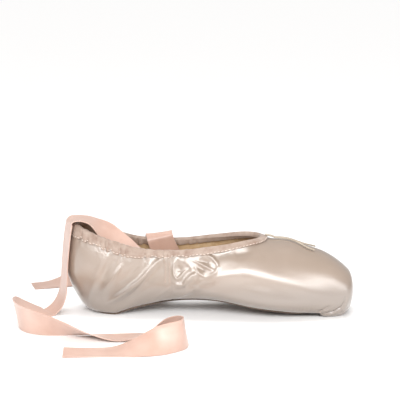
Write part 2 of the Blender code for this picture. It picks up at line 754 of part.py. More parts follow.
outsole()
upper()
insole()
binding()
cotton = material("cotton_cord", (0.55, 0.48, 0.42), 0.8)
drawstring("drawstring_left", DRAWSTRING_LEFT, cotton)
drawstring("drawstring_right", DRAWSTRING_RIGHT, cotton)
ribbon_satin = material("ribbon_satin", (0.76, 0.53, 0.45), 0.35)
ribbon("ribbon_near", RIBBON_NEAR, ribbon_satin)
ribbon("ribbon_far", RIBBON_FAR, ribbon_satin)
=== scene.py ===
"""A pointe shoe: satin upper with a hard toe box, leather sole, drawstring and untied ankle ribbons.

Lengths are in metres. Places along the shoe are measured from the back of the heel, as on the last, and moved
to the middle of the shoe when a mesh is made. +X leads to the toe, +Z up.
"""

import math
from typing import NamedTuple

import bmesh
import bpy
import numpy as np
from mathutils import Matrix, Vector


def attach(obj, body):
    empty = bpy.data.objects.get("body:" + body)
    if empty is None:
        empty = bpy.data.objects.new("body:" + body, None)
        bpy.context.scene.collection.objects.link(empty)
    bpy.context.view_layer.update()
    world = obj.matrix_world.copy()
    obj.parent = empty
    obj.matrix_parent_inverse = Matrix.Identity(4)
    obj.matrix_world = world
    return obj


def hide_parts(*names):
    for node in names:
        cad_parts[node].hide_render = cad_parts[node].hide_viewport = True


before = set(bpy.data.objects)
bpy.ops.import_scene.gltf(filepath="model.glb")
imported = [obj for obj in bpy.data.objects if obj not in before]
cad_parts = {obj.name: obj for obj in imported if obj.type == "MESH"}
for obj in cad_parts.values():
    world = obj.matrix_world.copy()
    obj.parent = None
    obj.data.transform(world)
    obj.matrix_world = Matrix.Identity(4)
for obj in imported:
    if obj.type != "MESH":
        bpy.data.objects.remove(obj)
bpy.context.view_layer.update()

# Upper
# Peach champagne satin over canvas, drawn wet over the last, its margin turned in underneath and pleated
# round the toe. Layers of paste and burlap make the box and its platform hard. Wear has creased the sides.
SHOE_LENGTH = 0.236
BALL_WIDTH = 0.077
HEEL_WIDTH = 0.054
HEEL_HEIGHT = 0.074
SIDE_HEIGHT = 0.054
INSTEP_HEIGHT = 0.0625
VAMP_LENGTH = 0.0745
TOE_HEIGHT = 0.034
TOE_WIDTH = 0.045
HEEL_CENTRE = 0.042
HEEL_BLEND = 1.2
COLLAR_WIDTH = 0.050
COLLAR_SETBACK = 0.0066
COLLAR_WIDEST_AT = 0.100
THROAT_ROUNDNESS = 2.5
SOLE_LENGTH = 0.767 * SHOE_LENGTH
SOLE_WIDTH = 0.050
SOLE_HEEL_WIDTH = 0.036
SOLE_SETBACK = 0.024
SOLE_THICKNESS = 0.002
ARCH_RISE = 0.0112
SOLE_TIP_ROUNDNESS = 2.3
MARGIN_WIDTH = 0.007
QUARTER_WALL = 0.0018
BOX_WALL = 0.003
CLEARANCE = 0.0003

THROAT = SHOE_LENGTH - VAMP_LENGTH
SOLE_TIP = SOLE_SETBACK + SOLE_LENGTH
OPENING_TIP = SOLE_TIP - MARGIN_WIDTH
SOLE_BALL_AT = SOLE_SETBACK + 0.81 * SOLE_LENGTH


class Section(NamedTuple):
    """The outside of the last at one place along the shoe."""

    at: float
    widest: float  # half width at the widest line
    spring: float  # height of the widest line
    crest: float  # height at which the arch over the foot closes
    flat: float  # half width of the flat underside
    turn: float  # roundness from underside to side
    arch: float  # roundness from side to crest


# The back seam, seen as a section whose half width runs from the heel centre to the back
BACK = Section(at=0.0, widest=HEEL_CENTRE, spring=0.50 * HEEL_HEIGHT, crest=1.42 * HEEL_HEIGHT,
               flat=0.56 * HEEL_CENTRE, turn=1.40, arch=2.0)

# Half widths as shares of the named width, heights as shares of the named height
SECTION_SHARES = (
    # at, width, widest, flat, height, spring, crest, turn, arch
    (HEEL_CENTRE / SHOE_LENGTH, HEEL_WIDTH, 0.500, 0.380, SIDE_HEIGHT, 0.54, 1.500, 1.55, 2.0),
    (0.255, HEEL_WIDTH, 0.520, 0.350, SIDE_HEIGHT, 0.54, 1.470, 1.60, 2.0),
    (0.360, BALL_WIDTH, 0.375, 0.210, SIDE_HEIGHT, 0.53, 1.460, 1.70, 2.0),
    (0.458, BALL_WIDTH, 0.397, 0.200, SIDE_HEIGHT, 0.50, 1.430, 1.80, 2.0),
    (0.551, BALL_WIDTH, 0.443, 0.240, SIDE_HEIGHT, 0.43, 1.330, 1.90, 2.0),
    (0.636, BALL_WIDTH, 0.487, 0.310, INSTEP_HEIGHT, 0.33, 1.068, 2.00, 2.0),
    (0.712, BALL_WIDTH, 0.500, 0.345, INSTEP_HEIGHT, 0.29, 0.972, 2.00, 2.0),
    (0.784, BALL_WIDTH, 0.468, 0.340, INSTEP_HEIGHT, 0.28, 0.942, 2.00, 2.0),
    (0.850, TOE_WIDTH, 0.722, 0.520, TOE_HEIGHT, 0.50, 1.590, 2.00, 2.1),
    (0.900, TOE_WIDTH, 0.655, 0.470, TOE_HEIGHT, 0.50, 1.470, 2.00, 2.2),
    (0.940, TOE_WIDTH, 0.600, 0.420, TOE_HEIGHT, 0.50, 1.310, 2.00, 2.3),
    (0.968, TOE_WIDTH, 0.547, 0.340, TOE_HEIGHT, 0.51, 1.165, 2.00, 2.3),
    (0.984, TOE_WIDTH, 0.497, 0.260, TOE_HEIGHT, 0.53, 1.065, 2.00, 2.3),
    (0.994, TOE_WIDTH, 0.440, 0.200, TOE_HEIGHT, 0.56, 0.990, 2.00, 2.3),
    (1.000, TOE_WIDTH, 0.365, 0.150, TOE_HEIGHT, 0.60, 0.900, 2.00, 2.3),
)
SECTIONS = [
    Section(at * SHOE_LENGTH, widest * width, spring * height, crest * height, flat * width, turn, arch)
    for at, width, widest, flat, height, spring, crest, turn, arch in SECTION_SHARES
]

# Half width of the collar from the heel to its widest place
COLLAR = (
    # at, half width
    (HEEL_CENTRE, 0.426 * COLLAR_WIDTH),
    (0.242 * SHOE_LENGTH, 0.468 * COLLAR_WIDTH),
    (0.314 * SHOE_LENGTH, 0.488 * COLLAR_WIDTH),
    (COLLAR_WIDEST_AT, 0.500 * COLLAR_WIDTH),
)

# Height of the underside of the sole
SOLE_CURVE = (
    # at, height
    (0.000 * SHOE_LENGTH, 0.00 * ARCH_RISE),
    (0.178 * SHOE_LENGTH, 0.00 * ARCH_RISE),
    (0.202 * SHOE_LENGTH, 0.16 * ARCH_RISE),
    (0.242 * SHOE_LENGTH, 0.42 * ARCH_RISE),
    (0.305 * SHOE_LENGTH, 0.70 * ARCH_RISE),
    (0.360 * SHOE_LENGTH, 0.90 * ARCH_RISE),
    (0.445 * SHOE_LENGTH, 1.00 * ARCH_RISE),
    (0.534 * SHOE_LENGTH, 0.95 * ARCH_RISE),
    (0.581 * SHOE_LENGTH, 0.82 * ARCH_RISE),
    (0.655 * SHOE_LENGTH, 0.58 * ARCH_RISE),
    (0.729 * SHOE_LENGTH, 0.40 * ARCH_RISE),
    (0.805 * SHOE_LENGTH, 0.22 * ARCH_RISE),
    (0.870 * SHOE_LENGTH, 0.11 * ARCH_RISE),
    (1.000 * SHOE_LENGTH, 0.05 * ARCH_RISE),
)

# Half width of the sole from the heel to the ball
SOLE_OUTLINE = (
    # at, half width
    (HEEL_CENTRE, 0.50 * SOLE_HEEL_WIDTH),
    (0.235 * SHOE_LENGTH, 0.47 * SOLE_HEEL_WIDTH),
    (0.320 * SHOE_LENGTH, 0.29 * SOLE_WIDTH),
    (0.420 * SHOE_LENGTH, 0.25 * SOLE_WIDTH),
    (0.490 * SHOE_LENGTH, 0.27 * SOLE_WIDTH),
    (0.570 * SHOE_LENGTH, 0.345 * SOLE_WIDTH),
    (0.655 * SHOE_LENGTH, 0.45 * SOLE_WIDTH),
    (SOLE_BALL_AT, 0.50 * SOLE_WIDTH),
)

# Underside of the toe, past the tip of the sole: it touches the floor, then rounds up to the platform
TOE_UNDERSIDE = (
    # at, height
    (0.905 * SHOE_LENGTH, 0.000 * TOE_HEIGHT),
    (0.958 * SHOE_LENGTH, 0.000 * TOE_HEIGHT),
    (0.974 * SHOE_LENGTH, 0.045 * TOE_HEIGHT),
    (0.986 * SHOE_LENGTH, 0.130 * TOE_HEIGHT),
    (0.995 * SHOE_LENGTH, 0.230 * TOE_HEIGHT),
    (1.000 * SHOE_LENGTH, 0.350 * TOE_HEIGHT),
)
TOUCHES_AT = TOE_UNDERSIDE[0][0]


def mix(a, b, share):
    return a + (b - a) * share


def ease(share):
    """0 to 1 with level ends."""
    share = np.clip(share, 0.0, 1.0)
    return share * share * (3 - 2 * share)


def smooth(rows, column, at):
    """A column's value at a place, on a smooth curve through the rows. The first column is the place."""
    if at <= rows[0][0]:
        return rows[0][column]
    if at >= rows[-1][0]:
        return rows[-1][column]
    k = max(i for i in range(len(rows) - 1) if rows[i][0] <= at)

    def slope(i):
        low, high = max(i - 1, 0), min(i + 1, len(rows) - 1)
        return (rows[high][column] - rows[low][column]) / (rows[high][0] - rows[low][0])

    span = rows[k + 1][0] - rows[k][0]
    t = (at - rows[k][0]) / span
    start, end = rows[k][column], rows[k + 1][column]
    lead_in = slope(k) * span - (end - start)
    lead_out = slope(k + 1) * span - (end - start)
    return mix(start, end, t) + t * (1 - t) * ((1 - t) * lead_in - t * lead_out)


def rounded_end(half_width, full_at, tip, roundness, at):
    """Half width of an outline that narrows to nothing from full_at to tip."""
    share = min(max((at - full_at) / (tip - full_at), 0.0), 1.0)
    return half_width * (1 - share**roundness) ** (1 / roundness)


def sole_bottom(at):
    return max(smooth(SOLE_CURVE, 1, at), 0.0)


def sole_half_width(at):
    if at < HEEL_CENTRE:
        share = (HEEL_CENTRE - at) / (HEEL_CENTRE - SOLE_SETBACK)
        return 0.5 * SOLE_HEEL_WIDTH * math.sqrt(max(1 - share * share, 0.0))
    if at > SOLE_BALL_AT:
        return rounded_end(0.5 * SOLE_WIDTH, SOLE_BALL_AT, SOLE_TIP, SOLE_TIP_ROUNDNESS, at)
    return smooth(SOLE_OUTLINE, 1, at)


def opening_half_width(at):
    """Half width of the hole that the sole closes."""
    if at > SOLE_BALL_AT:
        half = 0.5 * SOLE_WIDTH - MARGIN_WIDTH
        return rounded_end(half, SOLE_BALL_AT, OPENING_TIP, SOLE_TIP_ROUNDNESS, at)
    return sole_half_width(at) - MARGIN_WIDTH


def underside(at):
    """Height of the upper's outside where it lies on the sole, and of the toe past it."""
    over_sole = sole_bottom(at) + SOLE_THICKNESS + CLEARANCE
    past_sole = max(smooth(TOE_UNDERSIDE, 1, at), 0.0)
    return mix(over_sole, past_sole, ease((at - SOLE_TIP) / (TOUCHES_AT - SOLE_TIP)))


def section(at):
    return Section(at, *(smooth(SECTIONS, column, at) for column in range(1, len(Section._fields))))


def collar_half_width(at):
    if at > COLLAR_WIDEST_AT:
        return rounded_end(0.5 * COLLAR_WIDTH, COLLAR_WIDEST_AT, THROAT, THROAT_ROUNDNESS, at)
    return smooth(COLLAR, 1, at)


def wall(at):
    """Thin at the quarters, stiff and thick in the toe box."""
    return mix(QUARTER_WALL, BOX_WALL, ease((at - THROAT) / (TOUCHES_AT - THROAT)))


def heel_share(angle):
    """How far a section round the heel is like the back seam: 1 at the back, 0 at the side."""
    return max(math.cos(angle), 0.0) ** HEEL_BLEND


def skin_height(x, y):
    """Height of the outside above its widest line at a place in plan."""
    side = section(max(x, HEEL_CENTRE))
    angle = math.pi / 2
    reach = abs(y) / side.widest
    if x < HEEL_CENTRE:
        back = (HEEL_CENTRE - x) / BACK.widest
        angle = math.atan2(reach, back)
        reach = math.hypot(reach, back)
    back_share = heel_share(angle)
    spring = mix(side.spring, BACK.spring, back_share)
    crest = mix(side.crest, BACK.crest, back_share)
    return spring + (crest - spring) * (1 - min(reach, 1.0) ** side.arch) ** (1 / side.arch)


def spaced(points, count):
    """Points at equal steps along a polyline of numbers."""
    points = np.asarray(points)
    lengths = np.concatenate([[0.0], np.cumsum(np.linalg.norm(np.diff(points, axis=0), axis=1))])
    wanted = np.linspace(0.0, lengths[-1], count + 1)
    return np.stack([np.interp(wanted, lengths, points[:, axis]) for axis in range(points.shape[1])], axis=1)


HEEL_CUTS = 54
QUARTER_CUTS = 100
THROAT_CUTS = 96
VAMP_CUTS = 54
TOE_CUTS = 30
MARGIN_ROWS = 12
TURN_ROWS = 30
ARCH_ROWS = 76
FINE_STEPS = 64
THROAT_CROWDING = 0.9  # below 1, the cuts stand wider at the start of the throat's curve
SAME = 1e-6  # numbers closer than this are taken as the same


def stations():
    """(place, angle) of the cuts through one half: round the heel, then along the shoe to the platform."""
    heel = [(HEEL_CENTRE, 0.5 * math.pi * k / HEEL_CUTS) for k in range(HEEL_CUTS)]
    quarter = np.linspace(HEEL_CENTRE, COLLAR_WIDEST_AT, QUARTER_CUTS, endpoint=False)
    shares = np.linspace(0.0, 1.0, THROAT_CUTS + 1) ** THROAT_CROWDING
    throat = COLLAR_WIDEST_AT + (THROAT - COLLAR_WIDEST_AT) * np.sin(0.5 * math.pi * shares)
    vamp = np.linspace(THROAT, TOUCHES_AT, VAMP_CUTS + 1)[1:]
    shares = np.arange(1, TOE_CUTS + 1) / TOE_CUTS
    toe = TOUCHES_AT + (SHOE_LENGTH - TOUCHES_AT) * np.sin(0.5 * math.pi * shares)
    return heel + [(at, 0.5 * math.pi) for at in (*quarter, *throat, *vamp, *toe)]


def outside(at, angle):
    """The outside's points on one cut, from the edge of the sole opening up to the collar or the crest."""
    side = section(at)
    back = heel_share(angle)
    shared = ("spring", "crest", "turn", "arch")
    spring, crest, turn, arch = (mix(getattr(side, name), getattr(BACK, name), back) for name in shared)
    low = underside(at if back < SAME else HEEL_CENTRE)

    def point(reach_back, reach_side, height):
        return at - reach_back * math.cos(angle), reach_side * math.sin(angle), height

    def turned(share):
        out = (1 - (1 - share) ** turn) ** (1 / turn)
        reach_back, reach_side = mix(BACK.flat, BACK.widest, out), mix(side.flat, side.widest, out)
        return point(reach_back, reach_side, mix(low, spring, share))

    def arched(reach):
        rise = (1 - min(reach, 1.0) ** arch) ** (1 / arch)
        return point(reach * BACK.widest, reach * side.widest, mix(spring, crest, rise))

    hole = point(HEEL_CENTRE - SOLE_SETBACK - MARGIN_WIDTH, opening_half_width(at), low)
    collar = mix(collar_half_width(at) / side.widest, (HEEL_CENTRE - COLLAR_SETBACK) / BACK.widest, back)
    shares = np.linspace(0.0, 1.0, FINE_STEPS + 1)
    turn_points = spaced([turned(1 - math.cos(0.5 * math.pi * share)) for share in shares], TURN_ROWS)
    last = math.acos(min(collar, 1.0))
    arch_points = spaced([arched(math.cos(last * share)) for share in shares], ARCH_ROWS)
    margin = spaced([hole, turn_points[0]], MARGIN_ROWS)
    return np.concatenate([margin, turn_points[1:], arch_points[1:]])


NO_LENGTH = 1e-12  # keeps a division by a vector's length safe


def normals_of(grid):
    """Outward normals of a grid of points, cuts by rows, on the +Y half."""
    along = np.gradient(grid, axis=0)
    across = np.gradient(grid, axis=1)
    normal = np.cross(across, along)
    normal /= np.maximum(np.linalg.norm(normal, axis=2, keepdims=True), NO_LENGTH)
    on_middle_line = (np.abs(grid[:, :, 1]) < SAME) & (grid[:, :, 0] > HEEL_CENTRE)
    normal[on_middle_line, 1] = 0.0
    return normal / np.maximum(np.linalg.norm(normal, axis=2, keepdims=True), NO_LENGTH)


cuts = stations()
skin = np.array([outside(at, angle) for at, angle in cuts])
skin_normal = normals_of(skin)
collar_cuts = np.array([k for k, (at, _) in enumerate(cuts) if at <= THROAT + SAME])
hole_cuts = np.array([k for k, (at, _) in enumerate(cuts) if at <= OPENING_TIP + SAME])


class Fold(NamedTuple):
    """A soft ridge along a line on one side of the shoe, or a trough where its height is negative."""

    side: int  # -1 is the near side, 1 the far side, 0 both
    height: float
    width: float
    line: tuple  # places as (along the shoe from the heel, height above the floor)


MM = 0.001
FOLD_STEPS = 6  # points of a smoothed line for each of its given places
FOLD_END = 0.02  # share of a line over which its height holds still at either end
FOLD_FADE = 0.45  # below 1, a fold keeps its height until close to its ends

# Creases of a worn shoe, in millimetres, from the heel's corner to the toe
FOLDS = (
    # side, height, width, line
    # The long ridge from the heel's corner up to the side seam, with a sharper lower half. Beside it lie a
    # thin edge, a broad swell and two hollows
    Fold(-1, 1.30, 2.3, ((38, 12.8), (47.5, 19.8), (56, 25.8), (62.5, 30.8),
                         (66.5, 34.8), (73, 41.5), (79, 47), (86, 51))),
    Fold(-1, 0.85, 2.0, ((34, 9.3), (40, 14.2), (47.5, 19.8), (54, 24.3), (60, 29))),
    Fold(-1, 0.65, 1.3, ((38, 10), (47, 16), (55.5, 22), (61, 27.5), (65, 33), (69, 38))),
    Fold(-1, 0.70, 2.2, ((42, 15), (51, 22), (64, 33.5), (76, 46.5), (86, 51), (93, 49))),
    Fold(-1, -1.10, 3.4, ((46, 9), (56, 18), (66, 28), (75, 38), (82, 45))),
    Fold(-1, -0.70, 3.4, ((36, 20), (46, 29), (56, 38), (66, 48))),
    # A softer one beside it
    Fold(-1, 1.20, 1.7, ((32, 22), (36, 27), (40, 32), (44, 37.5), (48, 43))),
    Fold(-1, -0.55, 3.0, ((29, 32), (36, 41), (42, 50))),
    # The corner where the counter turns round the heel
    Fold(-1, 0.80, 2.8, ((20, 9), (23, 20), (27, 32), (31, 42), (35, 50))),
    Fold(-1, -0.80, 3.2, ((25, 10), (29, 22), (33, 33), (37, 42), (41, 50))),
    # Puckers ahead of the side seam, under the binding
    Fold(-1, 1.10, 1.1, ((93, 49), (90.3, 45), (89.6, 41), (90.3, 36),
                         (92.8, 32.8), (96, 35.5), (99, 39), (103, 42))),
    Fold(-1, -1.20, 2.2, ((94, 44), (95, 38.5))),
    Fold(-1, 1.90, 2.1, ((90.5, 29), (94, 27.6), (98, 28.3), (101, 32), (105, 36), (110, 38.5))),
    Fold(-1, 0.80, 1.0, ((97, 47.5), (101, 46), (104, 43), (106, 38), (107, 33))),
    Fold(-1, 1.00, 1.0, ((106, 45), (108.5, 41.5), (111, 38), (115, 35.5))),
    Fold(-1, 1.00, 1.0, ((107, 47.5), (112, 45.5), (117, 43), (122, 40.5))),
    Fold(-1, 1.10, 1.2, ((110, 48.5), (113.5, 51), (117, 52), (121, 50.5),
                         (125, 46.5), (126, 43), (124, 39), (119, 36.5))),
    Fold(-1, 1.70, 7.0, ((90, 29), (100, 31), (112, 32), (122, 33.5), (134, 36), (146, 38))),
    Fold(-1, -1.30, 1.8, ((112.5, 48.3), (119, 46))),
    Fold(-1, -1.10, 1.5, ((110.5, 43), (115.5, 40))),
    Fold(-1, -0.90, 2.2, ((104, 29.5), (113, 29.5), (124, 31.5))),
    # Gathers that run down to the sole at the waist
    Fold(-1, 0.80, 1.3, ((94, 16.5), (99, 20), (105, 24.5), (110, 29.5), (114, 33))),
    Fold(-1, -0.90, 2.3, ((93, 24), (100, 27), (105, 31))),
    Fold(-1, -0.70, 2.4, ((97, 14.5), (106, 19), (114, 25))),
    Fold(-1, 0.50, 1.8, ((74, 15), (81, 20), (87, 27))),
    Fold(-1, -0.60, 2.5, ((84, 14), (88, 20), (91, 27))),
    # The line along the vamp where its top turns to its side
    Fold(-1, 0.70, 6.0, ((124, 38), (146, 41), (165, 37.5), (185, 30.5), (205, 22), (227, 13))),
    Fold(-1, -0.50, 5.0, ((130, 31), (147, 32), (165, 29), (185, 23), (205, 15))),
    # Two dents under the binding beside the throat, the second one bright at its upper edge
    Fold(-1, -1.10, 5.0, ((121, 51.5), (129, 53), (137, 54.5))),
    Fold(-1, -1.80, 3.4, ((139, 52.8), (147, 54.2), (156, 55.5))),
    # Pleat edges that come round the toe from below
    Fold(-1, -1.60, 0.9, ((229.5, 18), (228.5, 13), (226, 9), (221, 5.5), (214, 3.6), (206, 2.6))),
    Fold(-1, 0.60, 1.6, ((231, 15), (229.5, 9.5), (225, 5.5), (218, 3))),
    Fold(-1, -1.20, 0.8, ((215.5, 10.5), (211, 7.5), (206, 5.5), (202, 4.5))),
    Fold(-1, -0.70, 0.8, ((221, 4.5), (213, 5.5), (206, 5.5))),
    # The far side, creased in the same way
    Fold(1, 1.20, 1.4, ((40, 13), (50, 23), (60, 34), (71, 44), (80, 49), (88, 47))),
    Fold(1, -1.10, 3.0, ((48, 14), (60, 25), (72, 37))),
    Fold(1, 0.90, 2.4, ((32, 22), (40, 33), (50, 46))),
    Fold(1, 1.10, 2.8, ((20, 10), (25, 22), (30, 36), (38, 54))),
    Fold(1, -0.90, 3.0, ((27, 12), (31, 25), (37, 40))),
    Fold(1, 1.20, 1.3, ((92, 46), (92, 38), (97, 33), (104, 38), (110, 42))),
    Fold(1, 1.10, 1.2, ((100, 50), (108, 46), (117, 42), (124, 42))),
    Fold(1, 1.10, 1.4, ((112, 50), (120, 50), (127, 45), (124, 38), (114, 35), (104, 33))),
    Fold(1, -1.20, 2.2, ((98, 44), (104, 45))),
    Fold(1, -1.10, 2.0, ((116, 46), (121, 45))),
    Fold(1, 0.90, 1.5, ((90, 16), (98, 21), (107, 29), (112, 35))),
    Fold(1, 0.50, 6.0, ((120, 38), (146, 41.5), (185, 34), (222, 20))),
    Fold(1, -1.00, 0.9, ((229.5, 16), (227, 10), (221, 5), (210, 2))),
    Fold(1, -0.80, 0.8, ((215, 10), (210, 6), (203, 4))),
)


def fold_height(x, z, fold):
    """What one fold adds at each place: round across, fading out at both ends."""
    line = np.array(fold.line) * MM
    given = np.arange(len(line))
    finer = np.linspace(0, len(line) - 1, FOLD_STEPS * len(line))
    line = np.stack([np.interp(finer, given, line[:, axis]) for axis in (0, 1)], axis=1)
    line[1:-1] = (line[:-2] + 2 * line[1:-1] + line[2:]) / 4
    steps = np.linalg.norm(np.diff(line, axis=0), axis=1)
    run = np.concatenate([[0.0], np.cumsum(steps)])
    nearest = np.full(x.shape, np.inf)
    where = np.zeros(x.shape)
    for (ax, az), (bx, bz), step, start in zip(line[:-1], line[1:], steps, run):
        share = np.clip(((x - ax) * (bx - ax) + (z - az) * (bz - az)) / (step * step), 0.0, 1.0)
        away = np.hypot(x - ax - share * (bx - ax), z - az - share * (bz - az))
        closer = away < nearest
        nearest = np.where(closer, away, nearest)
        where = np.where(closer, start + share * step, where)
    fade = np.sin(math.pi * np.clip(where / run[-1], FOLD_END, 1 - FOLD_END)) ** FOLD_FADE
    return fold.height * MM * fade * np.exp(-((nearest / (fold.width * MM)) ** 2))


# The collar's edge on the outside, and how far every place on the skin is from it
collar_edge = skin[collar_cuts, -1]
collar_run = np.concatenate([[0.0], np.cumsum(np.linalg.norm(np.diff(collar_edge, axis=0), axis=1))])
PLACES_AT_ONCE = 4000


def nearest_on(edge, points):
    """(distance, index) of the edge point nearest to each place, a slice at a time."""
    flat = points.reshape(-1, 3)
    found, index = np.empty(len(flat)), np.empty(len(flat), dtype=int)
    for start in range(0, len(flat), PLACES_AT_ONCE):
        part = slice(start, start + PLACES_AT_ONCE)
        between = flat[part, None, :] - edge[None]
        squares = np.einsum("ijk,ijk->ij", between, between)
        index[part] = squares.argmin(axis=1)
        found[part] = np.sqrt(squares.min(axis=1))
    return found.reshape(points.shape[:2]), index.reshape(points.shape[:2])


from_collar, collar_index = nearest_on(collar_edge, skin)

BINDING_WIDTH = 0.008
BINDING_FRONT_SHARE = 0.62
# Shares of the way from the back seam to the throat
NARROWS_FROM = 0.28
NARROWS_OVER = 0.18


def binding_width(run):
    """The tape shows its full width round the heel and is turned further in from the side seams on."""
    share = ease((run / collar_run[-1] - NARROWS_FROM) / NARROWS_OVER)
    return BINDING_WIDTH * mix(1.0, BINDING_FRONT_SHARE, share)


GATHER_SPACING = 0.0082
GATHER_DEPTH = 0.00042
GATHER_REACH = 0.011
GATHER_FALL = 2.2
GATHER_FALL_POWER = 1.4
# Shares of the binding's width: where the puckers start under it, and over which they rise
GATHER_START = 0.7
GATHER_RISE = 0.35
# The steps wander in two waves
GATHER_WANDER = (
    # share of a step, waves along the run, shift between the sides
    (0.55, 160, 1.3),
    (0.35, 371, 2.1),
)
# From the back seam to the throat
GATHER_STRENGTH = (
    # share of the way, strength
    (0.00, 0.75),
    (0.12, 1.00),
    (0.42, 1.00),
    (0.60, 0.75),
    (0.80, 0.12),
    (1.00, 0.05),
)


def gather_phase(run, side):
    """Where the drawstring's casing is gathered: uneven steps round the heel half, dying out at the vamp."""
    wander = sum(size * np.sin(run * waves + shift * side) for size, waves, shift in GATHER_WANDER)
    return run / GATHER_SPACING + wander


def gather_strength(run):
    shares, strengths = zip(*GATHER_STRENGTH)
    return np.interp(run / collar_run[-1], shares, strengths)


def gathers(side):
    """Short puckers that run down from the binding."""
    run = collar_run[collar_index]
    wave = np.cos(2 * math.pi * gather_phase(run, side))
    past = from_collar - GATHER_START * binding_width(run)
    reach = np.exp(-np.clip(past / GATHER_REACH, 0.0, None) ** GATHER_FALL_POWER * GATHER_FALL)
    return GATHER_DEPTH * wave * reach * gather_strength(run) * ease(past / (GATHER_RISE * BINDING_WIDTH))


PLEATS = 17
PLEAT_DEPTH = 0.0010
PLEAT_LONG_SIDE = 0.8  # share of a pleat that rises slowly before it drops
PLEAT_WANDER = 0.25
PLEAT_WANDER_WAVES = 9
PLEAT_CENTRE = SOLE_TIP - 0.021
# Where the pleats start and end: out from their centre, up from the floor and back from the toe
PLEAT_INNER = 0.017
PLEAT_INNER_FADE = 0.004
PLEAT_OUTER = 0.024
PLEAT_OUTER_FADE = 0.019
PLEAT_TOP = 0.003
PLEAT_TOP_FADE = 0.011
PLEAT_BACK = PLEAT_CENTRE - 0.008
PLEAT_BACK_FADE = 0.012


def pleats():
    """The satin's pleats, fanned round the tip of the sole under the toe."""
    x, y, z = skin[:, :, 0], skin[:, :, 1], skin[:, :, 2]
    angle = np.arctan2(y, x - PLEAT_CENTRE)
    away = np.hypot(x - PLEAT_CENTRE, y)
    wave = angle / math.pi * PLEATS * 2 + PLEAT_WANDER * np.sin(PLEAT_WANDER_WAVES * angle)
    step = wave - np.floor(wave)
    fold = np.where(step < PLEAT_LONG_SIDE, step / PLEAT_LONG_SIDE, (1 - step) / (1 - PLEAT_LONG_SIDE))
    inner = ease((away - PLEAT_INNER) / PLEAT_INNER_FADE)
    outer = 1 - ease((away - PLEAT_OUTER) / PLEAT_OUTER_FADE)
    under = 1 - ease((z - PLEAT_TOP) / PLEAT_TOP_FADE)
    front = ease((x - PLEAT_BACK) / PLEAT_BACK_FADE)
    return -PLEAT_DEPTH * fold * inner * outer * under * front


RIPPLE_SINES = 7
RIPPLE_SPREAD = (0.6, 1.5)  # how much shorter or longer than the given size a sine may be
RIPPLE_SHIFT = 6.3


def ripple(points, size, seed):
    """Smooth uneven waves, a few crossing sines with no plain direction."""
    rng = np.random.default_rng(seed)
    total = np.zeros(points.shape[:-1])
    for _ in range(RIPPLE_SINES):
        direction = rng.normal(size=3)
        direction /= np.linalg.norm(direction)
        along = points @ direction * (2 * math.pi / size) * rng.uniform(*RIPPLE_SPREAD)
        total += np.sin(along + rng.uniform(0, RIPPLE_SHIFT))
    return total / RIPPLE_SINES


SIDE_SEAM_AT = 0.0885
SIDE_SEAM_WIDTH = 0.0007
SIDE_SEAM_DEPTH = 0.00025
# Creases start beside the middle line and a little under the binding, and die out above the sole
FLANK_FROM = 0.001
FLANK_OVER = 0.012
UNDER_BINDING = 0.0022
UNDER_BINDING_FADE = 0.0030
ABOVE_SOLE = 0.0008
ABOVE_SOLE_FADE = 0.004
PAST_SOLE_FADE = 0.003
# The cloth's own unevenness: slack waves on the quarters, and long ones all over
SLACK_DEPTH = 0.00022
SLACK_SIZE = 0.017
SLACK_FADE = 0.05
SWELL_DEPTH = 0.00012
SWELL_SIZE = 0.045
FLOOR_CLEARANCE = 0.00005
underside_of_cuts = np.array([underside(at) for at, _ in cuts])


def skin_side(side):
    """The outside of one half with its creases, as a grid; side is 1 for +Y and -1 for -Y."""
    x, y, z = skin[:, :, 0], skin[:, :, 1], skin[:, :, 2]
    flank = ease((y - FLANK_FROM) / FLANK_OVER)
    lift = np.zeros(x.shape)
    for fold in FOLDS:
        if fold.side in (0, side):
            lift += fold_height(x, z, fold)
    hidden = binding_width(collar_run[collar_index]) - UNDER_BINDING
    below_binding = ease((from_collar - hidden) / UNDER_BINDING_FADE)
    lift = lift * flank * below_binding
    mirrored_places = skin * np.array([1, side, 1])
    slack = ease((THROAT - x) / SLACK_FADE)
    lift += SLACK_DEPTH * ripple(mirrored_places, SLACK_SIZE, seed=5) * slack * below_binding
    lift += SWELL_DEPTH * ripple(mirrored_places, SWELL_SIZE, seed=8) * below_binding
    lift += gathers(side) + pleats()
    on_sole = ease((z - underside_of_cuts[:, None] - ABOVE_SOLE) / ABOVE_SOLE_FADE)
    past_sole = ease((x - SOLE_TIP) / PAST_SOLE_FADE)
    lift *= np.maximum(on_sole, past_sole)
    seam = np.exp(-(((x - SIDE_SEAM_AT) / SIDE_SEAM_WIDTH) ** 2)) * flank * below_binding
    lift -= SIDE_SEAM_DEPTH * seam
    moved = skin + skin_normal * lift[:, :, None]
    moved[:, :, 2] = np.maximum(moved[:, :, 2], FLOOR_CLEARANCE)
    return moved * np.array([1, side, 1])


LINING_ROWS = 26


def lining_side(side):
    """The inside of one half: the outside moved in by the wall's thickness, on fewer rows."""
    thick = np.array([wall(at) for at, _ in cuts])[:, None]
    inner = skin - skin_normal * thick[:, :, None]
    toe_share = ease((skin[:, :, 0] - TOUCHES_AT) / (SHOE_LENGTH - TOUCHES_AT))
    inner[:, :, 0] -= thick * toe_share
    inner[:, :, 1] = np.maximum(inner[:, :, 1], 0.0)
    inner[:, 0] = skin[:, 0] + np.array([0, 0, 1]) * thick
    rows = np.unique(np.linspace(0, skin.shape[1] - 1, LINING_ROWS).round().astype(int))
    return inner[:, rows] * np.array([1, side, 1])


SHARP_FROM = math.radians(50)
SHORTEST_EDGE = 1e-7


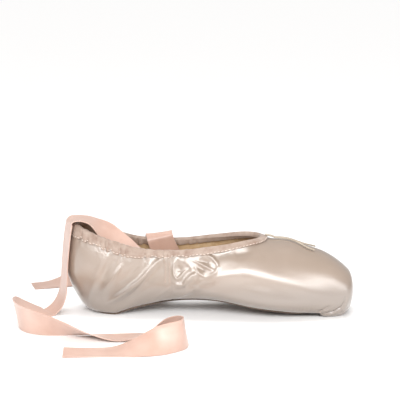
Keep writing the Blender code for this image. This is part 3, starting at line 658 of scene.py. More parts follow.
class Shell:
    """Gathers points and faces of one mesh from grids."""

    def __init__(self):
        self.points, self.faces, self.slots = [], [], []

    def grid(self, rows, slot, flip, keep=None):
        """Adds a grid of points with its faces; keep is a range of cuts whose faces are made."""
        start = len(self.points)
        count, width = rows.shape[:2]
        self.points.extend(rows.reshape(-1, 3))
        for i in range(count - 1) if keep is None else keep:
            for j in range(width - 1):
                a = start + i * width + j
                face = (a, a + width, a + width + 1, a + 1)
                self.faces.append(face[::-1] if flip else face)
                self.slots.append(slot)
        return start

    def cap(self, ring, slot, flip, rings=9, dome=0.0):
        """Closes a flat ring with smaller and smaller rings and a middle."""
        centre = ring.mean(axis=0)
        shares = np.linspace(0.0, 1.0, rings + 1)[:-1]
        bulges = [np.array([dome * (1 - (1 - share) ** 2), 0, 0]) for share in shares]
        rows = np.array([mix(ring, centre, share) + bulge for share, bulge in zip(shares, bulges)])
        rows = np.concatenate([rows, rows[:, :1]], axis=1)
        self.grid(rows, slot, flip)
        start = len(self.points)
        self.points.extend(rows[-1])
        self.points.append(centre + np.array([dome, 0, 0]))
        for k in range(len(ring)):
            face = (start + k, start + len(ring) + 1, start + k + 1)
            self.faces.append(face[::-1] if flip else face)
            self.slots.append(slot)

    def made(self, name, materials, doubles=2e-6):
        """A mesh object, moved to the middle of the shoe; points closer than doubles become one."""
        places = np.array(self.points) - np.array([0.5 * SHOE_LENGTH, 0, 0])
        mesh = bpy.data.meshes.new(name)
        mesh.from_pydata(places.tolist(), [], self.faces)
        for made_material in materials:
            mesh.materials.append(made_material)
        mesh.polygons.foreach_set("material_index", self.slots)
        worked = bmesh.new()
        worked.from_mesh(mesh)
        bmesh.ops.remove_doubles(worked, verts=worked.verts, dist=doubles)
        bmesh.ops.dissolve_degenerate(worked, edges=worked.edges, dist=SHORTEST_EDGE)
        bmesh.ops.recalc_face_normals(worked, faces=worked.faces)
        worked.to_mesh(mesh)
        worked.free()
        mesh.shade_smooth()
        mesh.set_sharp_from_angle(angle=SHARP_FROM)
        made = bpy.data.objects.new(name, mesh)
        bpy.context.scene.collection.objects.link(made)
        return made


def linear(code):
    """A colour written as sRGB hex, as linear values."""
    parts = [int(code[k : k + 2], 16) / 255 for k in (0, 2, 4)]
    return tuple(v / 12.92 if v <= 0.04045 else ((v + 0.055) / 1.055) ** 2.4 for v in parts) + (1.0,)


def add(tree, kind, settings=None, values=None, links=None):
    """Adds a node with its settings, its sockets' values, and links from other nodes' outputs."""
    node = tree.nodes.new(kind)
    for name, value in (settings or {}).items():
        setattr(node, name, value)
    for name, value in (values or {}).items():
        node.inputs[name].default_value = value
    for name, (source, output) in (links or {}).items():
        tree.links.new(source.outputs[output], node.inputs[name])
    return node


def new_material(name):
    """An empty material with its tree, its output and a Principled shader linked to it."""
    made = bpy.data.materials.new(name)
    made.use_nodes = True
    tree = made.node_tree
    tree.nodes.clear()
    shader = add(tree, "ShaderNodeBsdfPrincipled")
    add(tree, "ShaderNodeOutputMaterial", links={"Surface": (shader, "BSDF")})
    return made, tree, shader


def ramp(tree, source, output, stops):
    """A colour ramp with the given (place, hex) stops."""
    node = add(tree, "ShaderNodeValToRGB", links={"Fac": (source, output)})
    elements = node.color_ramp.elements
    while len(elements) < len(stops):
        elements.new(0.5)
    for element, (place, code) in zip(elements, stops):
        element.position = place
        element.color = linear(code)
    return node


# Painted shade on the lower sides: the darker colour is mixed in fully below the first height and fades out
# by the second
LOW_SHADE_FULL_BELOW = 0.018
LOW_SHADE_NONE_ABOVE = 0.037
LOW_SHADE_SHARE = 0.65
WAVE_REPEAT = 0.31  # metres between two bands of a wave texture whose scale is 1
DULLER, GLOSSIER = 0.06, 0.05


def cloth(name, stops, roughness, weave, bump, sheen, coat=0.0, patches=45.0, painted_low_shade=None):
    """Woven cloth: a colour that drifts in soft patches, threads crossing at the weave's spacing, a sheen.

    The weave is drawn a little coarser than the real threads, so that it shows. A darker colour, if given, is
    painted in towards the floor as shade on the lower sides.
    """
    made, tree, shader = new_material(name)
    place = add(tree, "ShaderNodeTexCoord")
    drift = add(tree, "ShaderNodeTexNoise", values={"Scale": patches, "Detail": 4.0, "Roughness": 0.6},
                links={"Vector": (place, "Object")})
    colour, painted = ramp(tree, drift, "Fac", stops), "Color"
    if painted_low_shade:
        # Painted shade: a darker colour mixed in towards the floor
        height = add(tree, "ShaderNodeSeparateXYZ", links={"Vector": (place, "Object")})
        low = add(tree, "ShaderNodeMapRange", {"interpolation_type": "SMOOTHSTEP"},
                  {"From Min": LOW_SHADE_FULL_BELOW, "From Max": LOW_SHADE_NONE_ABOVE,
                   "To Min": LOW_SHADE_SHARE, "To Max": 0.0},
                  {"Value": (height, "Z")})
        # The colours of a Mix node go in at sockets 6 and 7 and come out at 2
        colour = add(tree, "ShaderNodeMix", {"data_type": "RGBA"}, {7: linear(painted_low_shade)},
                     {0: (low, "Result"), 6: (colour, "Color")})
        painted = 2
    tree.links.new(colour.outputs[painted], shader.inputs["Base Color"])
    warp, weft = (
        add(tree, "ShaderNodeTexWave", {"bands_direction": direction},
            {"Scale": WAVE_REPEAT / weave, "Distortion": 1.2, "Detail": 2.0, "Detail Scale": 2.0},
            {"Vector": (place, "Object")})
        for direction in ("X", "Z")
    )
    threads = add(tree, "ShaderNodeMath", {"operation": "MULTIPLY"},
                  links={0: (warp, "Fac"), 1: (weft, "Fac")})
    raised = add(tree, "ShaderNodeBump", values={"Strength": bump, "Distance": weave},
                 links={"Height": (threads, "Value")})
    tree.links.new(raised.outputs["Normal"], shader.inputs["Normal"])
    if coat:
        tree.links.new(raised.outputs["Normal"], shader.inputs["Coat Normal"])
    gloss = add(tree, "ShaderNodeMapRange",
                values={"To Min": roughness - GLOSSIER, "To Max": roughness + DULLER},
                links={"Value": (drift, "Fac")})
    tree.links.new(gloss.outputs["Result"], shader.inputs["Roughness"])
    for socket, value in (("Sheen Weight", sheen), ("Sheen Roughness", 0.4), ("Coat Weight", coat),
                          ("Coat Roughness", 0.28), ("Coat IOR", 2.1)):
        shader.inputs[socket].default_value = value
    return made


# Champagne satin: long floating threads give a broad glossy sheen that turns white where it faces the light.
# Its colour is painted darker towards the floor, as shade on the lower sides
satin = cloth("champagne_satin", ((0.30, "917F6F"), (0.55, "9C8A7C"), (0.75, "978577")), roughness=0.30,
              weave=0.0006, bump=0.10, sheen=0.08, coat=1.0, patches=16.0, painted_low_shade="766A61")
# Cotton drill lining, tan with glue and wear, dull
lining = cloth("drill_lining", ((0.30, "BE9D74"), (0.50, "CBAD86"), (0.70, "D5BB97")), roughness=0.85,
               weave=0.0011, bump=0.5, sheen=0.25, patches=140.0)

PLATFORM_DOME = 0.0004
creased = {side: skin_side(side) for side in (1, -1)}
lined = {side: lining_side(side) for side in (1, -1)}
shell = Shell()
for side in (1, -1):
    flip = side < 0
    outer, inner = creased[side], lined[side]
    shell.grid(outer, 0, flip)
    shell.grid(inner, 1, not flip)
    for end, span in ((-1, collar_cuts), (0, hole_cuts)):
        rim = np.stack([outer[span, end], inner[span, end]], axis=1)
        shell.grid(rim, 1, flip if end == -1 else not flip)
for halves, slot, flip, dome in ((creased, 0, False, PLATFORM_DOME), (lined, 1, True, 0.0)):
    shell.cap(np.concatenate([halves[1][-1], halves[-1][-1][-2::-1]]), slot, flip, dome=dome)
upper = shell.made("upper_satin", [satin, lining])
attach(upper, "root")
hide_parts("upper")

# Insole
# A thin board, a little narrower than the inside of the shoe, lies on the turned-in margin. A sock of cotton
# drill is glued on it.
INSOLE_LENGTH = 0.771 * SHOE_LENGTH
INSOLE_THICKNESS = 0.0012
INSOLE_BACK = SOLE_SETBACK - 0.5 * MARGIN_WIDTH
PLATE_CUTS = 110
PLATE_ROWS = 22
PLATE_EDGE_STEPS = 5
PLATE_EDGE_BULGE = 0.35


def plate_places(start, tip):
    """Places along a plate, closer together towards its round ends."""
    angles = np.linspace(0.0, math.pi, PLATE_CUTS + 1)
    return start + (tip - start) * (1 - np.cos(angles)) / 2


def plate(name, places, half_width, low, thickness, skive, finish):
    """A thin bent plate with a rounded edge, the lower face narrower by the skive."""
    shell = Shell()
    rings = []
    for at in places:
        half, height = half_width(at), low(at)
        narrow = max(half - skive, 0.0)
        across = np.linspace(-1, 1, PLATE_ROWS)
        bottom = [(at, narrow * share, height) for share in across]
        turn = np.linspace(-0.5 * math.pi, 0.5 * math.pi, PLATE_EDGE_STEPS + 2)[1:-1]
        bulge = min(PLATE_EDGE_BULGE * thickness, 0.5 * half)
        edge = []
        for angle in turn:
            out, rise = half - bulge + bulge * math.cos(angle), thickness * (1 + math.sin(angle)) / 2
            edge.append((at, out, height + rise))
        top = [(at, (half - 0.5 * bulge) * share, height + thickness) for share in across[::-1]]
        far_edge = [(x, -y, z) for x, y, z in edge[::-1]]
        rings.append(bottom + edge + top + far_edge)
    rings = np.array(rings)
    rings = np.concatenate([rings, rings[:, :1]], axis=1)
    shell.grid(rings, 0, False)
    return shell.made(name, [finish], doubles=1e-5)


def insole_half_width(at):
    """A little narrower than the flat of the upper's inside, rounded at both ends."""
    side = section(max(at, HEEL_CENTRE))
    inside_flat = side.flat - wall(at) - CLEARANCE
    if at < HEEL_CENTRE:
        share = (HEEL_CENTRE - at) / (HEEL_CENTRE - INSOLE_BACK)
        return inside_flat * math.sqrt(max(1 - share * share, 0.0))
    tip = INSOLE_BACK + INSOLE_LENGTH
    return rounded_end(inside_flat, SOLE_BALL_AT, tip, SOLE_TIP_ROUNDNESS, at)


def insole_bottom(at):
    return underside(max(at, HEEL_CENTRE)) + wall(at) + CLEARANCE


# Sock of unbleached drill, dull, in soft patches of wear
sock = cloth("insole_drill", ((0.32, "B29872"), (0.52, "C2A884"), (0.70, "CDB593")), roughness=0.9,
             weave=0.0012, bump=0.5, sheen=0.2)
insole = plate("insole_sock", plate_places(INSOLE_BACK, INSOLE_BACK + INSOLE_LENGTH), insole_half_width,
               insole_bottom, INSOLE_THICKNESS, 0.0, sock)
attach(insole, "root")
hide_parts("insole")

# Outsole
# One piece of suede leather, skived thin at its edge. It is glued over the gathered margin and stitched down
# along a channel near its edge.
SOLE_SKIVE = 0.0008
SOLE_CHANNEL_INSET = 0.0034


def leather(name, stops, roughness, grain, bump):
    """Brushed leather: colour in blotches, a fine grain and a few scuffs along the foot."""
    made, tree, shader = new_material(name)
    place = add(tree, "ShaderNodeTexCoord")
    blotch = add(tree, "ShaderNodeTexNoise", values={"Scale": 38.0, "Detail": 6.0, "Roughness": 0.65},
                 links={"Vector": (place, "Object")})
    along = add(tree, "ShaderNodeMapping", values={"Scale": (28.0, 260.0, 120.0)},
                links={"Vector": (place, "Object")})
    scuff = add(tree, "ShaderNodeTexNoise", values={"Scale": 1.0, "Detail": 5.0, "Roughness": 0.7},
                links={"Vector": (along, "Vector")})
    blend = add(tree, "ShaderNodeMix", {"data_type": "FLOAT"}, {0: 0.4},
                {2: (blotch, "Fac"), 3: (scuff, "Fac")})
    colour = ramp(tree, blend, 0, stops)
    tree.links.new(colour.outputs["Color"], shader.inputs["Base Color"])
    pores = add(tree, "ShaderNodeTexNoise", values={"Scale": 1 / grain, "Detail": 3.0},
                links={"Vector": (place, "Object")})
    raised = add(tree, "ShaderNodeBump", values={"Strength": bump, "Distance": 0.5 * grain},
                 links={"Height": (pores, "Fac")})
    tree.links.new(raised.outputs["Normal"], shader.inputs["Normal"])
    shader.inputs["Roughness"].default_value = roughness
    shader.inputs["Sheen Weight"].default_value = 0.15
    return made


# Suede side out: grey brown, dull, in darker and lighter blotches of wear
suede = leather("sole_suede", ((0.34, "4C4038"), (0.50, "6B5B50"), (0.66, "8A796B")), roughness=0.88,
                grain=0.0009, bump=0.5)
outsole = plate("outsole_leather", plate_places(SOLE_SETBACK, SOLE_TIP), sole_half_width, sole_bottom,
                SOLE_THICKNESS, SOLE_SKIVE, suede)
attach(outsole, "root")
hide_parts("outsole")


def stitch_tree():
    """Lays short round stitches along a line, end to end with a gap between them."""
    tree = bpy.data.node_groups.new("stitch_row", "GeometryNodeTree")
    face = tree.interface
    face.new_socket("Geometry", in_out="INPUT", socket_type="NodeSocketGeometry")
    sockets = {
        name: face.new_socket(name, in_out="INPUT", socket_type=kind).identifier
        for name, kind in (("Spacing", "NodeSocketFloat"), ("Stitch", "NodeSocketFloat"),
                           ("Thickness", "NodeSocketFloat"), ("Thread", "NodeSocketMaterial"))
    }
    face.new_socket("Geometry", in_out="OUTPUT", socket_type="NodeSocketGeometry")
    given = add(tree, "NodeGroupInput")
    line = add(tree, "GeometryNodeMeshToCurve", links={"Mesh": (given, "Geometry")})
    points = add(tree, "GeometryNodeResampleCurve", {"mode": "LENGTH"},
                 links={"Curve": (line, "Curve"), "Length": (given, "Spacing")})
    ball = add(tree, "GeometryNodeMeshUVSphere", values={"Segments": 6, "Rings": 4, "Radius": 0.5})
    size = add(tree, "ShaderNodeCombineXYZ",
               links={"X": (given, "Thickness"), "Y": (given, "Thickness"), "Z": (given, "Stitch")})
    shaped = add(tree, "GeometryNodeTransform", links={"Geometry": (ball, "Mesh"), "Scale": (size, "Vector")})
    tangent = add(tree, "GeometryNodeInputTangent")
    turned = add(tree, "FunctionNodeAlignRotationToVector", {"axis": "Z"},
                 links={"Vector": (tangent, "Tangent")})
    laid = add(tree, "GeometryNodeInstanceOnPoints",
               links={"Points": (points, "Curve"), "Instance": (shaped, "Geometry"),
                      "Rotation": (turned, "Rotation")})
    real = add(tree, "GeometryNodeRealizeInstances", links={"Geometry": (laid, "Instances")})
    threaded = add(tree, "GeometryNodeSetMaterial",
                   links={"Geometry": (real, "Geometry"), "Material": (given, "Thread")})
    add(tree, "NodeGroupOutput", links={"Geometry": (threaded, "Geometry")})
    return tree, sockets


STITCH_ROW, STITCH_SOCKETS = stitch_tree()


def stitches(name, lines, spacing, stitch, thickness, thread):
    """Rows of stitches along lines of points given from the heel, made a plain mesh."""
    points, edges = [], []
    for line in lines:
        start = len(points)
        points.extend((x - 0.5 * SHOE_LENGTH, y, z) for x, y, z in line)
        edges.extend((start + k, start + k + 1) for k in range(len(line) - 1))
    mesh = bpy.data.meshes.new(name)
    mesh.from_pydata(points, edges, [])
    laid = bpy.data.objects.new(name, mesh)
    bpy.context.scene.collection.objects.link(laid)
    row = laid.modifiers.new("stitches", "NODES")
    row.node_group = STITCH_ROW
    for socket, value in (("Spacing", spacing), ("Stitch", stitch), ("Thickness", thickness),
                          ("Thread", thread)):
        row[STITCH_SOCKETS[socket]] = value
    bpy.context.view_layer.update()
    plain = bpy.data.meshes.new_from_object(laid.evaluated_get(bpy.context.evaluated_depsgraph_get()))
    laid.modifiers.clear()
    laid.data = plain
    plain.shade_smooth()
    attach(laid, "root")
    return laid


# Waxed linen thread, grey from the floor
linen = cloth("linen_thread", ((0.35, "9B8D7C"), (0.65, "B5A896")), roughness=0.8, weave=0.0004, bump=0.3,
              sheen=0.1)
CHANNEL_POINTS = 130
CHANNEL_END = 0.001  # the channel stops short of the sole's middle line by this much at both ends
SOLE_STITCH_SPACING = 0.0030
SOLE_STITCH_LENGTH = 0.0021
SOLE_THREAD = 0.00055
SOLE_THREAD_LOWEST = 0.00028  # height of the thread's middle that keeps it off the floor
channel_ends = (SOLE_SETBACK + SOLE_CHANNEL_INSET + CHANNEL_END, SOLE_TIP - SOLE_CHANNEL_INSET - CHANNEL_END)
channel = []
for at in np.linspace(*channel_ends, CHANNEL_POINTS):
    half = sole_half_width(at) - SOLE_CHANNEL_INSET
    channel.append((at, max(half, CHANNEL_END), max(sole_bottom(at), SOLE_THREAD_LOWEST)))
round_sole = channel + [(x, -y, z) for x, y, z in channel[::-1]] + channel[:1]
stitches("sole_stitches", [round_sole], SOLE_STITCH_SPACING, SOLE_STITCH_LENGTH, SOLE_THREAD, linen)

# Binding
# A bias tape folded over the collar's edge and stitched down, with the drawstring drawn through it. It is
# gathered round the heel half and lies smooth at the throat.
BINDING_INSIDE = 0.006
BINDING_THICKNESS = 0.0008
BINDING_CLEARANCE = 0.00045
BINDING_RINGS = 420
LEG_POINTS = 9
LEG_FINE_POINTS = 60
LEG_FINE_REACH = 1.5 * BINDING_WIDTH
OVER_EDGE_POINTS = 7


def collar_loop():
    """The collar's points in plan with the directions that lead away from the opening, once round."""
    half = np.array([(x, y) for x, y, z in collar_edge])
    loop = np.concatenate([half, half[-2:0:-1] * np.array([1, -1])])
    loop = spaced(np.concatenate([loop, loop[:1]]), BINDING_RINGS)[:-1]
    along = np.roll(loop, -1, axis=0) - np.roll(loop, 1, axis=0)
    away = np.stack([-along[:, 1], along[:, 0]], axis=1)
    return loop, away / np.linalg.norm(away, axis=1, keepdims=True)


def run_at(x, y):
    """How far along the collar from the back seam a place on its edge is."""
    squares = (collar_edge[:, 0] - x) ** 2 + (collar_edge[:, 1] - abs(y)) ** 2
    return collar_run[squares.argmin()]


PINCH_SHARPNESS = 1.6
GATHER_PUFF_OUTSIDE = 0.00115
GATHER_PUFF_INSIDE = 0.00095
HEM_WAVE = 0.17  # share of the tape's width by which a gather lengthens or shortens it
# Height of the fold over the collar's edge, in thicknesses of the tape, and what a gather adds to it
EDGE_RISE = 0.9
EDGE_RISE_WAVE = 0.35


def binding_ring(point, away):
    """The tape's cross-section: down the outside, over the edge and down the inside."""
    side = 1 if point[1] >= 0 else -1
    run = run_at(*point)
    strength = float(gather_strength(run))
    pinch = math.exp(-PINCH_SHARPNESS * (1 + math.cos(2 * math.pi * gather_phase(run, side))))
    wave = 1 - 2 * pinch
    width = binding_width(run)
    reach = np.linspace(0.0, LEG_FINE_REACH, LEG_FINE_POINTS)
    places = point[None] + away[None] * reach[:, None]
    fine = np.array([(x, y, skin_height(x, y)) for x, y in places])
    lengths = np.concatenate([[0.0], np.cumsum(np.linalg.norm(np.diff(fine, axis=0), axis=1))])
    down = np.linspace(0.0, width * (1 + HEM_WAVE * wave * strength), LEG_POINTS)
    legs = np.stack([np.interp(down, lengths, fine[:, axis]) for axis in range(3)], axis=1)
    along = np.gradient(legs, axis=0)
    out = np.array([away[0], away[1], 0.0])
    normals = np.stack([-along[:, 2] * out[0], -along[:, 2] * out[1], along @ out], axis=1)
    normals /= np.linalg.norm(normals, axis=1, keepdims=True)
    thick = wall(point[0])
    near, far = BINDING_CLEARANCE, BINDING_CLEARANCE + BINDING_THICKNESS
    up = -(legs[1] - legs[0]) / np.linalg.norm(legs[1] - legs[0])
    puff = strength * (1 + wave) * 0.5 * np.sin(np.linspace(0.0, math.pi, LEG_POINTS))
    outside_leg = legs + normals * (far + GATHER_PUFF_OUTSIDE * puff)[:, None]
    inner = int(round((LEG_POINTS - 1) * BINDING_INSIDE / BINDING_WIDTH)) + 1
    inside_leg = legs[:inner] - normals[:inner] * (thick + far + GATHER_PUFF_INSIDE * puff[:inner])[:, None]
    lift = up * (CLEARANCE + 0.5 * BINDING_THICKNESS)
    fold = []
    for share in np.linspace(0.0, 1.0, OVER_EDGE_POINTS):
        across = mix(far, -thick - far, share)
        rise = (EDGE_RISE + EDGE_RISE_WAVE * strength * wave) * BINDING_THICKNESS * math.sin(math.pi * share)
        fold.append(legs[0] + normals[0] * across + lift + up * rise)
    hem = legs + normals * near
    under = legs - normals * (thick + near)
    gap = up * CLEARANCE
    hem_points = [hem[-1], *hem[-2:0:-2], hem[0] + gap]
    under_points = [under[0] + gap, *under[1:inner:2], under[inner - 1]]
    return [*outside_leg[:0:-1], *fold, *inside_leg[1:], *under_points[::-1], *hem_points[::-1]]


binding_shell = Shell()
rings = np.array([binding_ring(point, away) for point, away in zip(*collar_loop())])
rings = np.concatenate([rings, rings[:1]], axis=0)
rings = np.concatenate([rings, rings[:, :1]], axis=1)
binding_shell.grid(rings, 0, False)
# Cotton and rayon tape, pinker and duller than the satin, with small soiled patches
tape = cloth("binding_tape", ((0.30, "8E7668"), (0.50, "A28E81"), (0.70, "AE9C8F")), roughness=0.50,
             weave=0.0007, bump=0.25, sheen=0.25, patches=120.0)
binding = binding_shell.made("collar_binding", [tape], doubles=1e-6)
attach(binding, "root")
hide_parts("binding")

# Seams
# The quarters are joined to the vamp by a seam at each waist, sewn down with two rows of short bars. A seam
# runs up the back of the counter, and one row of thread holds the binding.
STITCH_SPACING = 0.0021
THREAD = 0.00042
BAR_THREAD = 0.8 * THREAD
BAR_LENGTH = 0.0012
BAR_ROWS_BEHIND_SEAM = (0.0016, 0.0056)
BAR_LOWEST, BAR_HIGHEST = 0.030, 0.046
BAR_LIFT = 0.00005
BACK_STITCH_LENGTH = 0.0015
BACK_SEAM_LOWEST, BACK_SEAM_HIGHEST = 0.012, 0.064
BACK_STITCH_LIFT = 0.00006
HEM_POINT = 1  # place in the binding's cross-section of the thread that holds it, beside the tape's edge
HEM_STITCH_SPACING = 0.0030
HEM_STITCH_LENGTH = 0.0022
HEM_THREAD = 0.00045


def skin_point(cut, row, side, lift):
    """A place on the creased skin, raised a little."""
    place = creased[side][cut, row]
    out = skin_normal[cut, row] * np.array([1, side, 1])
    return tuple(place + out * lift)


def cut_at(at):
    """The straight cut across the shoe that is nearest to a place."""
    return HEEL_CUTS + int(np.argmin([abs(cut[0] - at) for cut in cuts[HEEL_CUTS:]]))


def rows_between(cut, low, high):
    heights = skin[cut, :, 2]
    return [row for row in range(len(heights)) if low < heights[row] < high and row > MARGIN_ROWS]


bars = []
for side in (1, -1):
    for behind in BAR_ROWS_BEHIND_SEAM:
        cut = cut_at(SIDE_SEAM_AT - behind)
        for row in rows_between(cut, BAR_LOWEST, BAR_HIGHEST)[::2]:
            bars.append([skin_point(beside, row, side, BAR_LIFT) for beside in (cut, cut + 1)])
# Silk thread, a shade lighter than the satin
silk = cloth("silk_thread", ((0.35, "AF998B"), (0.65, "C0ACA0")), roughness=0.5, weave=0.0004, bump=0.2,
             sheen=0.2)
stitches("side_seam_stitches", bars, STITCH_SPACING, BAR_LENGTH, BAR_THREAD, silk)
back_rows = rows_between(0, BACK_SEAM_LOWEST, BACK_SEAM_HIGHEST)
back_line = [skin_point(0, row, 1, BACK_STITCH_LIFT) for row in back_rows]
stitches("back_seam_stitches", [back_line], STITCH_SPACING, BACK_STITCH_LENGTH, THREAD, silk)
# Mercerised cotton thread, nearly white, drawn tight into the tape's edge
pale_cotton = cloth("mercerised_thread", ((0.35, "DCCFC4"), (0.65, "EADFD5")), roughness=0.45, weave=0.0004,
                    bump=0.2, sheen=0.2)
hem_line = [tuple(ring[HEM_POINT]) for ring in rings]
stitches("binding_stitches", [hem_line], HEM_STITCH_SPACING, HEM_STITCH_LENGTH, HEM_THREAD, pale_cotton)

# Drawstring
# One thin cotton cord runs round inside the binding and gathers it. Its two ends come out at the throat and
# lie on the vamp.
DRAWSTRING_DIAMETER = 0.0014
ROUTE_STEPS = 4
# Shares of the vamp's length forwards from the throat and of the ball's width sideways
DRAWSTRING_LEFT = (
    (0.040, 0.010),
    (0.090, 0.022),
    (0.150, 0.045),
    (0.220, 0.080),
    (0.290, 0.120),
    (0.360, 0.150),
    (0.430, 0.165),
    (0.500, 0.160),
    (0.560, 0.140),
    (0.610, 0.110),
)
DRAWSTRING_RIGHT = (
    (0.040, -0.010),
    (0.100, -0.004),
    (0.170, 0.006),
    (0.240, 0.004),
    (0.310, -0.012),
    (0.370, -0.034),
    (0.420, -0.062),
    (0.465, -0.092),
    (0.520, -0.112),
    (0.585, -0.115),
)


def curve_through(rows, steps):
    """Rows of numbers on a Catmull-Rom curve through the given rows, steps for each stretch."""
    rows = np.array(rows, dtype=float)
    last = len(rows) - 1
    found = []
    for k in range(last):
        a, b, c, d = (rows[min(max(i, 0), last)] for i in (k - 1, k, k + 1, k + 2))
        for step in range(steps + (k == last - 1)):
            t = step / steps
            bend = 2 * b + (c - a) * t + (2 * a - 5 * b + 4 * c - d) * t * t + (3 * b - a - 3 * c + d) * t**3
            found.append(0.5 * bend)
    return found


def drawstring_points(route):
    """The cord's middle line over the binding and along the vamp."""
    over_binding = THROAT + BINDING_WIDTH
    points = []
    for forward, sideways in curve_through(route, ROUTE_STEPS):
        x, y = THROAT + forward * VAMP_LENGTH, sideways * BALL_WIDTH
        lift = 0.5 * DRAWSTRING_DIAMETER + 2 * CLEARANCE
        lift += (BINDING_THICKNESS + CLEARANCE) * (1 - ease((x - over_binding) / (0.5 * BINDING_WIDTH)))
        points.append((x - 0.5 * SHOE_LENGTH, y, skin_height(x, y) + lift))
    return points


def run_of(points):
    return sum(math.dist(a, b) for a, b in zip(points, points[1:]))


def frames_along(points):
    """A steady sideways and upward direction at each point of a line."""
    points = np.array(points)
    along = np.gradient(points, axis=0)
    along /= np.linalg.norm(along, axis=1, keepdims=True)
    sideways = np.cross(along, np.array([0, 0, 1.0]))
    sideways /= np.linalg.norm(sideways, axis=1, keepdims=True)
    return sideways, np.cross(sideways, along)


BRAID_STRANDS = 8
# In diameters of the cord
BRAID_STEP = 0.22
BRAID_PITCH = 5.0
BRAID_AROUND = 16
# Shares of the cord's radius: its core, and how far a strand stands above and below it
BRAID_CORE = 0.95
BRAID_RELIEF = 0.07
# Rings: how far the first one is from a point, and how many it takes to the full radius
BRAID_TIP = 0.4
BRAID_TIP_RINGS = 2.5


def braid(name, points, diameter, finish):
    """A tube whose surface is raised where its strands cross, closed at both ends."""
    points = spaced(points, int(run_of(points) / (BRAID_STEP * diameter)))
    sideways, up = frames_along(points)
    around = np.linspace(0.0, 2 * math.pi, BRAID_AROUND, endpoint=False)
    half_strands = 0.5 * BRAID_STRANDS
    rings = []
    for k, (point, a, b) in enumerate(zip(points, sideways, up)):
        phase = 2 * math.pi * k * BRAID_STEP / BRAID_PITCH
        from_end = min(k, len(points) - 1 - k)
        rounding = math.sqrt(min((from_end + BRAID_TIP) / BRAID_TIP_RINGS, 1.0))
        ring = []
        for angle in around:
            weave = math.cos(half_strands * (angle + phase)) * math.cos(half_strands * (angle - phase))
            radius = 0.5 * diameter * (BRAID_CORE + BRAID_RELIEF * weave) * rounding
            ring.append(point + radius * (a * math.cos(angle) + b * math.sin(angle)))
        rings.append(ring)
    rings = np.array(rings) + np.array([0.5 * SHOE_LENGTH, 0, 0])
    shell = Shell()
    shell.grid(np.concatenate([rings, rings[:, :1]], axis=1), 0, False)
    shell.cap(rings[0], 0, False, rings=1)
    shell.cap(rings[-1], 0, True, rings=1)
    return shell.made(name, [finish], doubles=1e-7), points


# Braided cotton, unbleached and greyed by handling
cotton = cloth("drawstring_cotton", ((0.35, "9A8E80"), (0.55, "AFA292"), (0.70, "BBAF9F")), roughness=0.85,
               weave=0.0004, bump=0.3, sheen=0.2)
for name, route in (("drawstring_left", DRAWSTRING_LEFT), ("drawstring_right", DRAWSTRING_RIGHT)):
    cord, line = braid("cord_" + name, drawstring_points(route), DRAWSTRING_DIAMETER, cotton)
    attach(cord, "root")
    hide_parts(name)

# Ribbons
# Two lengths of woven satin ribbon, sewn flat inside the quarters beside the heel. Untied, they come over the
# collar and lie down on the floor in loose turns.
RIBBON_WIDTH = 0.022
RIBBON_THICKNESS = 0.0008
# Each row: x, y, z, the compass angle of the ribbon's width and how steeply its width rises, in degrees.
# A height of 0 lies on the floor.
RIBBON_NEAR = (
    (0.0940, -0.0240, 0.0345, 90, 84),
    (0.0820, -0.0236, 0.0355, 90, 84),
    (0.0700, -0.0216, 0.0390, 91, 79),
    (0.0580, -0.0175, 0.0455, 93, 71),
    (0.0460, -0.0116, 0.0557, 96, 59),
    (0.0340, -0.0070, 0.0680, 100, 40),
    (0.0235, -0.0054, 0.0752, 104, 14),
    (0.0150, -0.0052, 0.0778, 108, 4),
    (0.0080, -0.0051, 0.0775, 109, 0),
    (0.0043, -0.0052, 0.0752, 109, 0),
    (0.0030, -0.0054, 0.0700, 109, 0),
    (0.0017, -0.0056, 0.0615, 109, 0),
    (0.0003, -0.0058, 0.0485, 109, 0),
    (-0.0006, -0.0060, 0.0370, 109, 0),
    (-0.0014, -0.0064, 0.0250, 110, 0),
    (-0.0030, -0.0074, 0.0140, 112, 0),
    (-0.0075, -0.0105, 0.0052, 115, 0),
    (-0.0150, -0.0150, 0, 119, 4),
    (-0.0250, -0.0238, 0, 134, 28),
    (-0.0325, -0.0372, 0, 158, 60),
    (-0.0335, -0.0545, 0, 184, 78),
    (-0.0260, -0.0710, 0, 213, 80),
    (-0.0115, -0.0826, 0, 238, 70),
    (0.0075, -0.0880, 0, 258, 46),
    (0.0290, -0.0888, 0, 269, 18),
    (0.0500, -0.0868, 0, 274, 2),
    (0.0710, -0.0850, 0, 270, 14),
    (0.0895, -0.0880, 0, 250, 50),
    (0.1010, -0.0990, 0, 215, 76),
    (0.1000, -0.1135, 0, 160, 80),
    (0.0870, -0.1225, 0, 112, 62),
    (0.0690, -0.1240, 0, 94, 26),
    (0.0500, -0.1235, 0, 90, 3),
    (0.0310, -0.1245, 0, 92, 0),
    (0.0125, -0.1260, 0, 94, 2),
)
